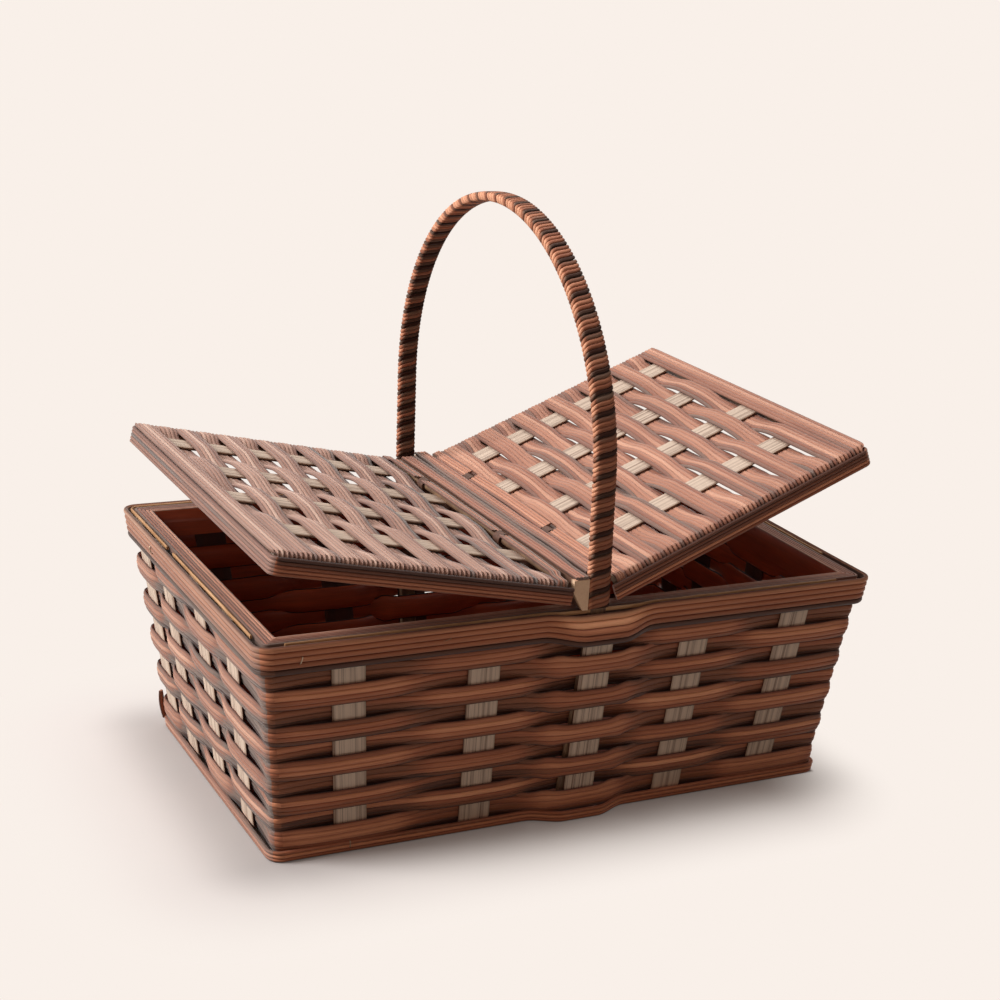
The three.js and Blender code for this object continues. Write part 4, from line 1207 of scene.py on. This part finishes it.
class Lid:
    """A lid drawn closed and level, with its hinge at 0 and its length along X, then placed on its side."""

    def __init__(self, name, side, opened):
        scene = bpy.context.scene
        self.name = name
        self.side = side
        self.sizes = sizes = scene.basket_lids
        self.fit = fit = scene.basket_body.fit
        # Painted sheen: the left lid gets the greyer copy of the strands, the right lid the pinker one
        self.strands = "lid_grey" if side < 0 else "lid_pink"
        self.over = sizes.top - sizes.band_thickness / 2
        self.frame_top = sizes.top - sizes.band_thickness - fit
        self.low = sizes.top - sizes.depth
        self.half = sizes.width / 2
        self.corner = (sizes.length - sizes.corner_radius, self.half - sizes.corner_radius)
        self.tuck_outer = self.half - sizes.edge_thickness - fit
        self.rail_outer = self.tuck_outer - sizes.band_thickness - fit
        self.end_outer = sizes.length - sizes.edge_thickness - fit
        self.slats = [share * self.half for share in LID_SLAT_PLACES]
        hinge = Matrix.Translation((side * sizes.hinge_x, 0, sizes.hinge_z))
        self.place = hinge @ Matrix.Rotation(-side * opened, 4, "Y") @ Matrix.Diagonal((side, 1, 1, 1))

    def piece(self, maker, part, finishes, slot, *nodes):
        maker.piece(f"{self.name}_{part}", finishes, slot, *nodes, body=self.name, place=self.place)

    def add_frame(self):
        """The pale slats, the rails and the hinge rod."""
        sizes = self.sizes
        maker = Maker()
        half = sizes.slat_thickness / 2
        outline, spans = slat_section(half)
        for i, y in enumerate(self.slats):
            rings = []
            for x in steps_between(END_SLAT_GAP, self.end_outer - END_SLAT_GAP, STAKE_STEP):
                rings.append([(x, y + w * sizes.slat_width / 2, self.frame_top - half + t) for t, w in outline])
            maker.loft(rings, spans, [0.2 + 0.19 * i])
        half = (self.frame_top - self.low - RAIL_LIFT) / 2
        outline, spans = slat_section(half)
        section = [(sizes.rail / 2 * w, self.frame_top - half + t) for t, w in outline]
        spans = [(start, end, 1) for start, end, _ in spans]
        side = self.rail_outer - sizes.rail / 2
        end = self.end_outer - sizes.rail / 2
        ends = (-self.rail_outer, self.rail_outer)
        for y in (-side, side):
            maker.loft([[(x, y + w, z) for w, z in section] for x in (0.0, self.end_outer)], spans, [0.4])
        maker.loft([[(end + w, y, z) for w, z in section] for y in ends], spans, [0.5])
        turns = [2 * math.pi * k / PIN_SIDES for k in range(PIN_SIDES)]
        rod = [(sizes.pin_radius * math.cos(turn), sizes.pin_radius * math.sin(turn)) for turn in turns]
        maker.loft([[(x, y, z) for x, z in rod] for y in ends], [(0.0, 0.5, 1)] * PIN_SIDES, [0.5])
        self.piece(maker, "frame_slats", ["lid_slat", "core"], "pale_slat", f"{self.name}_frame")

    def band_line(self, k):
        """The side view of a band, from front to back, as place, height and how far it is over or under."""
        sizes = self.sizes
        over = self.over
        under = self.frame_top - sizes.slat_thickness - self.fit - sizes.band_thickness / 2
        tuck = self.tuck_outer - sizes.band_thickness / 2
        radius = sizes.band_thickness * BAND_TURN
        edge = [(tuck, z, 1.0) for z in steps_between(over - radius - sizes.band_tuck, over - radius, LID_STEP)]
        for turn in quarter_turns(CORNER_STEPS, whole=True):
            edge.append((tuck - radius + radius * math.cos(turn), over - radius + radius * math.sin(turn), 1.0))
        knots = [(-1 if k > 0 and (i + k) % 2 == 0 else 1) for i in range(len(self.slats))]
        start = self.rail_outer - sizes.rail - END_SLAT_GAP
        places = [-start, *self.slats, start]
        ways = [1, *knots, 1]
        flats = [0, *(sizes.slat_width / 2 + (STAY_OVER if way > 0 else STAY_UNDER) for way in knots), 0]
        middle = []
        for i, (here, after) in enumerate(zip(places, places[1:])):
            low = here + flats[i]
            high = after - flats[i + 1] - (EARLY_DIVE if ways[i + 1] < 0 else 0)
            for p in steps_between(low, high, LID_STEP):
                way = mix(ways[i], ways[i + 1], smooth((p - low) / (high - low)))
                middle.append((p, mix(under, over, (way + 1) / 2), way))
        return [(-p, z, way) for p, z, way in edge] + middle + edge[::-1]

    def reach_at(self, p, z):
        """How far out a band may reach at a place and height, inside the lid's rounded outer corners."""
        sizes = self.sizes
        reach = sizes.length
        corner_x, corner_y = self.corner
        if abs(p) > corner_y:
            tight = sizes.edge_thickness + sizes.band_thickness / 2
            turning = sizes.corner_radius - mix(CORNER_SHY, tight, smooth((self.over - z) / CORNER_DROP))
            reach = min(reach, corner_x + math.sqrt(max(0, turning**2 - (abs(p) - corner_y) ** 2)))
        past = abs(p) - self.tuck_outer + TOP_CORNER
        if past > 0:
            reach = min(reach, sizes.length - TOP_CORNER + math.sqrt(max(0, TOP_CORNER**2 - past**2)))
        return reach

    def add_band(self, k):
        sizes = self.sizes
        pitch = (sizes.length - sizes.pin_radius - FIRST_BAND_GAP) / LID_BANDS
        middle = sizes.length - pitch * (k + 0.5)
        outline, spans = ribbed_section(5, sizes.band_thickness / 2, LID_BAND_ROUND, sizes.band_crown)
        split, _ = ribbed_section(5, sizes.band_thickness / 2, LID_END_ROUND, narrow=2)
        line = self.band_line(k)
        seed = k + (40 if self.side > 0 else 20)
        rings = []
        for (p, z, nx, nz), (*_, way) in zip(with_normals([point[:2] for point in line]), line):
            half = (pitch - sizes.band_gap) / 2 + sizes.band_under * smooth(-way) + BAND_WIDER_OVER * smooth(way)
            at = middle + wobble(p * 9, seed, 2, LID_WOBBLE)
            reach = self.reach_at(p, z)
            section = split if abs(p) > self.rail_outer else outline
            rings.append([(min(at + across * half, reach), p - nx * out, z - nz * out) for out, across in section])
        maker = Maker().loft(rings, spans, strand_tones(seed, LID_PATTERN))
        name = f"band_{k + 1:02d}"
        self.piece(maker, f"woven_{name}", [self.strands, "lid_inner"], "woven_band", f"{self.name}_{name}")

    def add_edge(self):
        """The ribbed band along the front, outer and back edges."""
        sizes = self.sizes
        wall = sizes.edge_thickness / 2
        side = self.half - wall
        radius = sizes.corner_radius - wall
        corner_x, corner_y = self.corner
        outline, spans = ribbed_section(5, wall, EDGE_ROUND)

        def corner(sign, start):
            for turn in quarter_turns(CORNER_STEPS):
                x, y = math.cos(start + turn), math.sin(start + turn)
                yield corner_x + radius * x, sign * corner_y + radius * y, x, y

        path = [(x, -side, 0, -1) for x in steps_between(EDGE_START, corner_x, EDGE_STEP)]
        path += corner(-1, -math.pi / 2)
        path += [(sizes.length - wall, y, 1, 0) for y in steps_between(-corner_y, corner_y, EDGE_STEP)]
        path += corner(1, 0.0)
        path += [(x, side, 0, 1) for x in steps_between(corner_x, EDGE_START, EDGE_STEP)]
        half = sizes.edge_height / 2
        middle = self.low + half
        rings = []
        for x, y, out_x, out_y in path:
            rings.append([(x + out_x * o, y + out_y * o, middle + w * half) for o, w in outline])
        # Along the front the edge band gets the warmer front_edge copy and painted shade on its upper strands
        front = [out_y < -0.9 for *_, out_y in path]
        slots = [2 if at_front else 0 for at_front in front]
        lift = [FRONT_EDGE_PAINTED_SHADE * at_front for at_front in front]
        tones = strand_tones(9 + self.side, LID_EDGE_PATTERN, 0.1)
        maker = Maker().loft(rings, spans, tones, lift=lift, outer=slots)
        finishes = [self.strands, self.strands, "front_edge"]
        self.piece(maker, "edge_band", finishes, "woven_band", f"{self.name}_side_band")

    def add_rod_cover(self):
        """The band over the hinge rod, in three lengths that leave the hinge loops free."""
        outline, spans = ribbed_section(4, ROD_COVER_HALF, ROD_COVER_ROUND)
        level = self.sizes.pin_radius + ROD_COVER_LIFT
        end_y = self.rail_outer + END_SLAT_GAP
        ends = [-end_y, *(share * self.half for share in LOOP_GAPS), end_y]
        tail = []
        for turn in quarter_turns(4, whole=True):
            tail.append((end_y + ROD_COVER_BEND * math.sin(turn), level - ROD_COVER_BEND * (1 - math.cos(turn)), turn))
        tail.append((tail[-1][0], level - ROD_COVER_TAIL, tail[-1][2]))
        maker = Maker()
        for start, end in zip(ends, ends[1:]):
            low = start + LOOP_ROOM * (start != ends[0])
            high = end - LOOP_ROOM * (end != ends[-1])
            path = [(y, level, 0.0) for y in steps_between(low, high, STATION)]
            if start == ends[0]:
                path = [(-y, z, -turn) for y, z, turn in reversed(tail)] + path
            if end == ends[-1]:
                path += tail
            rings = []
            for y, z, turn in path:
                kink = ROD_COVER_KINK * math.sin(ROD_COVER_KINKS * y + self.side)
                beside = smooth((abs(y) - LEG_START) / LEG_EASE)
                z += wobble(y * 30, self.side, 4, ROD_COVER_WOBBLE)
                z -= (ROD_COVER_LIFT - ROD_COVER_LOW_LIFT) * beside
                inner = mix(ROD_COVER_INNER + max(0, kink), ROD_COVER_INNER_AT_LEG, beside)
                outer = ROD_COVER_OUTER + kink
                middle, half = (inner + outer) / 2, (outer - inner) / 2
                up, aside = math.cos(turn), math.sin(turn)
                rings.append([(middle + across * half, y + out * aside, z + out * up) for out, across in outline])
            maker.loft(rings, spans, strand_tones(90 + self.side, ROD_PATTERNS[self.side]))
        self.piece(maker, "rod_cover", ["cover", "lid_inner"], "woven_band")


def add_lid(name, side, opened):
    lid = Lid(name, side, opened)
    lid.add_rod_cover()
    lid.add_frame()
    for k in range(LID_BANDS):
        lid.add_band(k)
    lid.add_edge()


# Studio


PICTURE_WIDTH = 1000
FOCAL_PIXELS = 1956.7
CENTRE_PIXELS = (550.76, 508.67)
SENSOR_MM = 36.0
CAMERA_TURN = math.radians(-28.625)
CAMERA_RISE = math.radians(17.466)
CAMERA_ROLL = math.radians(4.123)
CAMERA_DISTANCE = 1.21524
CAMERA_SIDE = 0.03515
CAMERA_AIM_HEIGHT = 0.16272


def add_camera():
    level = Vector((math.cos(CAMERA_TURN), math.sin(CAMERA_TURN), 0))
    flat = Vector((math.sin(CAMERA_TURN), -math.cos(CAMERA_TURN), 0))
    back = flat * math.cos(CAMERA_RISE) + Vector((0, 0, math.sin(CAMERA_RISE)))
    rise = back.cross(level)
    right = level * math.cos(CAMERA_ROLL) + rise * math.sin(CAMERA_ROLL)
    up = rise * math.cos(CAMERA_ROLL) - level * math.sin(CAMERA_ROLL)
    data = bpy.data.cameras.new("camera")
    data.sensor_width = SENSOR_MM
    data.lens = FOCAL_PIXELS / PICTURE_WIDTH * SENSOR_MM
    data.shift_x = 0.5 - CENTRE_PIXELS[0] / PICTURE_WIDTH
    data.shift_y = CENTRE_PIXELS[1] / PICTURE_WIDTH - 0.5
    camera = bpy.data.objects.new("camera", data)
    bpy.context.scene.collection.objects.link(camera)
    at = Vector((0, 0, CAMERA_AIM_HEIGHT)) + back * CAMERA_DISTANCE + right * CAMERA_SIDE
    camera.matrix_world = Matrix.Translation(at) @ Matrix((right, up, back)).transposed().to_4x4()
    bpy.context.scene.camera = camera


# The lamps: name, place, size, watts and colour
LAMPS = (
    ("key_lamp", (-3.2, 0.6, 2.2), 1.6, 152, (1, 0.985, 1.0)),
    ("top_lamp", (0.1, 0.8, 3.0), 3.2, 54, (1, 0.985, 0.985)),
    ("fill_lamp", (-2.0, -3.0, 1.9), 2.4, 6, (1, 0.8, 0.68)),
)
LAMP_AIM = Vector((0, 0, 0.12))


def add_lamp(name, at, size, watts, shade):
    data = bpy.data.lights.new(name, "AREA")
    data.shape = "SQUARE"
    data.size = size
    data.energy = watts
    data.color = shade
    lamp = bpy.data.objects.new(name, data)
    bpy.context.scene.collection.objects.link(lamp)
    turn = (LAMP_AIM - Vector(at)).to_track_quat("-Z", "Y")
    lamp.matrix_world = Matrix.Translation(at) @ turn.to_matrix().to_4x4()


def seen_directly(f):
    """1 for the rays that show the background itself, and 0 for the rays that light the object."""
    path = f.node("LightPath")
    return (path.pick("Is Camera Ray") + path.pick("Is Glossy Ray") + path.pick("Is Transmission Ray")).clamp()


# Boxes on the floor, each as its middle and half length along X and Y: where the shadow is full, where the pieces
# touch the floor and a painted shadow starts, and what the basket hides
FLOOR_CENTRE = ((-0.03, 0.17), (0.0, 0.1))
FLOOR_CONTACT = ((-0.003, 0.18), (0.0, 0.1))
FLOOR_UNDER = ((0.007, 0.183), (0.0, 0.1005))
# How the shadow fades with the distance past its box, as from, to, first and last value
FLOOR_FADE = (0.0, 0.1, 0.1, 1.0)
CONTACT_FADE = (-0.01, 0.055, 0.36, 0.0)
# The colour of the painted shadow round the feet, which fades as CONTACT_FADE says
CONTACT_PAINTED_SHADOW = "6c6664"
# How bright the floor is to the eye and as a source of light
FLOOR_SHADE = (0.84, 0.865, 0.885)
FLOOR_BOUNCE = 0.28
FLOOR_REACH = 14.0
FLOOR_LEVEL = -0.0002
FLOOR_SHARPNESS = 400
# The soft light from all round, as colour and strength
SOFT_LIGHT = (1, 0.72, 0.58, 1)
SOFT_STRENGTH = 0.13


def add_floor(ground):
    f = Finish(bpy.data.materials.new("studio_floor"))
    at = f.place()

    def past(box):
        """How far a point of the floor lies past a box."""
        beyond = [(abs(part - middle) - reach).clamp() for part, (middle, reach) in zip(at, box)]
        return f.node("VectorMath", {"operation": "LENGTH"}, {0: f.vector(*beyond)}).pick("Value")

    def eased(value, kind, limits):
        sockets = dict(zip(("From Min", "From Max", "To Min", "To Max"), limits))
        return f.node("MapRange", {"interpolation_type": kind}, {"Value": value, **sockets})

    fade = eased(past(FLOOR_CENTRE), "SMOOTHSTEP", FLOOR_FADE)
    # A painted shadow that darkens the floor's colour near the feet
    painted_shadow = eased(past(FLOOR_CONTACT), "SMOOTHERSTEP", CONTACT_FADE)
    clear = (past(FLOOR_UNDER) * FLOOR_SHARPNESS).clamp()
    seen = seen_directly(f)
    bounced = tuple(c * FLOOR_BOUNCE for c in ground)
    shade = f.tint("MIX", seen, bounced, tuple(c * k for c, k in zip(ground, FLOOR_SHADE)))
    # Both the lit floor and its glow are darkened by the painted shadow
    lit = f.node("BsdfDiffuse", {}, {"Color": f.tint("MULTIPLY", painted_shadow, shade, CONTACT_PAINTED_SHADOW)})
    glow = f.node("Emission", {}, {"Color": f.tint("MULTIPLY", painted_shadow, ground, CONTACT_PAINTED_SHADOW), "Strength": 1.0})
    shader = f.node("MixShader", {}, {0: seen * fade * clear, 1: lit, 2: glow})
    f.node("OutputMaterial", {}, {"Surface": shader})
    mesh = bpy.data.meshes.new("floor")
    mesh.from_pydata([(x * FLOOR_REACH, y * FLOOR_REACH, 0) for x, y in CORNER_SIGNS], [], [(3, 0, 1, 2)])
    mesh.materials.append(f.holder)
    floor = bpy.data.objects.new("floor", mesh)
    floor.location.z = FLOOR_LEVEL
    bpy.context.scene.collection.objects.link(floor)


def add_world(ground):
    world = bpy.data.worlds.new("studio")
    bpy.context.scene.world = world
    f = Finish(world)
    soft = f.node("Background", {}, {"Color": SOFT_LIGHT, "Strength": SOFT_STRENGTH})
    plain = f.node("Background", {}, {"Color": (*ground, 1), "Strength": 1.0})
    f.node("OutputWorld", {}, {"Surface": f.node("MixShader", {}, {0: seen_directly(f), 1: soft, 2: plain})})


# Operators and panel


class BasketOperator:
    bl_options = {"REGISTER", "UNDO"}


class BASKET_OT_stage(BasketOperator, bpy.types.Operator):
    """Add the camera, the lamps, the floor and the backdrop"""

    bl_idname = "basket.stage"
    bl_label = "Studio"

    def execute(self, context):
        ground = tuple(context.scene.basket_colours.ground)
        context.scene.view_settings.view_transform = "Standard"
        add_camera()
        add_floor(ground)
        add_world(ground)
        for lamp in LAMPS:
            add_lamp(*lamp)
        return {"FINISHED"}


class BASKET_OT_weavers(BasketOperator, bpy.types.Operator):
    """Add the woven bands of the walls"""

    bl_idname = "basket.weavers"
    bl_label = "Woven bands"

    def execute(self, context):
        add_weavers(Walls())
        return {"FINISHED"}


class BASKET_OT_stakes(BasketOperator, bpy.types.Operator):
    """Add the pale slats of the walls and the base"""

    bl_idname = "basket.stakes"
    bl_label = "Slats"

    def execute(self, context):
        add_stakes(Walls())
        return {"FINISHED"}


class BASKET_OT_rims(BasketOperator, bpy.types.Operator):
    """Add the rim hoops, the foot band, the filler reed and the staples"""

    bl_idname = "basket.rims"
    bl_label = "Rim and foot"

    def execute(self, context):
        add_rims(Walls())
        return {"FINISHED"}


class BASKET_OT_handle(BasketOperator, bpy.types.Operator):
    """Add the binding of the arch handle"""

    bl_idname = "basket.handle"
    bl_label = "Handle"

    def execute(self, context):
        add_handle(Walls())
        return {"FINISHED"}


class BASKET_OT_bar(BasketOperator, bpy.types.Operator):
    """Add the cover of the centre bar, and finish the bar, its ties and the floor board"""

    bl_idname = "basket.bar"
    bl_label = "Centre bar"

    def execute(self, context):
        add_centre_bar()
        return {"FINISHED"}


class BASKET_OT_lids(BasketOperator, bpy.types.Operator):
    """Add the two lids with their slats, woven bands and edge bands"""

    bl_idname = "basket.lids"
    bl_label = "Lids"

    def execute(self, context):
        sizes = context.scene.basket_lids
        add_lid("left_lid", -1, sizes.left_open)
        add_lid("right_lid", 1, sizes.right_open)
        return {"FINISHED"}


class BASKET_PT_panel(bpy.types.Panel):
    """The basket's pieces and their sizes and colours"""

    bl_label = "Picnic Basket"
    bl_idname = "BASKET_PT_panel"
    bl_space_type = "VIEW_3D"
    bl_region_type = "UI"
    bl_category = "Basket"

    def draw(self, context):
        column = self.layout.column()
        for operator in OPERATORS:
            column.operator(operator.bl_idname)
        for holder in PROPERTIES:
            group = getattr(context.scene, holder)
            for name in group.bl_rna.properties.keys():
                if name not in ("rna_type", "name"):
                    column.prop(group, name)


PROPERTIES = {
    "basket_body": BasketBody,
    "basket_handle": BasketHandle,
    "basket_lids": BasketLids,
    "basket_colours": BasketColours,
}
OPERATORS = (
    BASKET_OT_stage,
    BASKET_OT_weavers,
    BASKET_OT_stakes,
    BASKET_OT_rims,
    BASKET_OT_handle,
    BASKET_OT_bar,
    BASKET_OT_lids,
)
CLASSES = (*PROPERTIES.values(), *OPERATORS, BASKET_PT_panel)


def register():
    for made in CLASSES:
        bpy.utils.register_class(made)
    for name, group in PROPERTIES.items():
        setattr(bpy.types.Scene, name, bpy.props.PointerProperty(type=group))


def unregister():
    for name in PROPERTIES:
        delattr(bpy.types.Scene, name)
    for made in reversed(CLASSES):
        bpy.utils.unregister_class(made)


def main():
    register()
    bpy.ops.basket.stage()
    bpy.ops.basket.weavers()
    bpy.ops.basket.stakes()
    bpy.ops.basket.rims()
    bpy.ops.basket.handle()
    bpy.ops.basket.bar()
    bpy.ops.basket.lids()


if __name__ == "__main__":
    main()
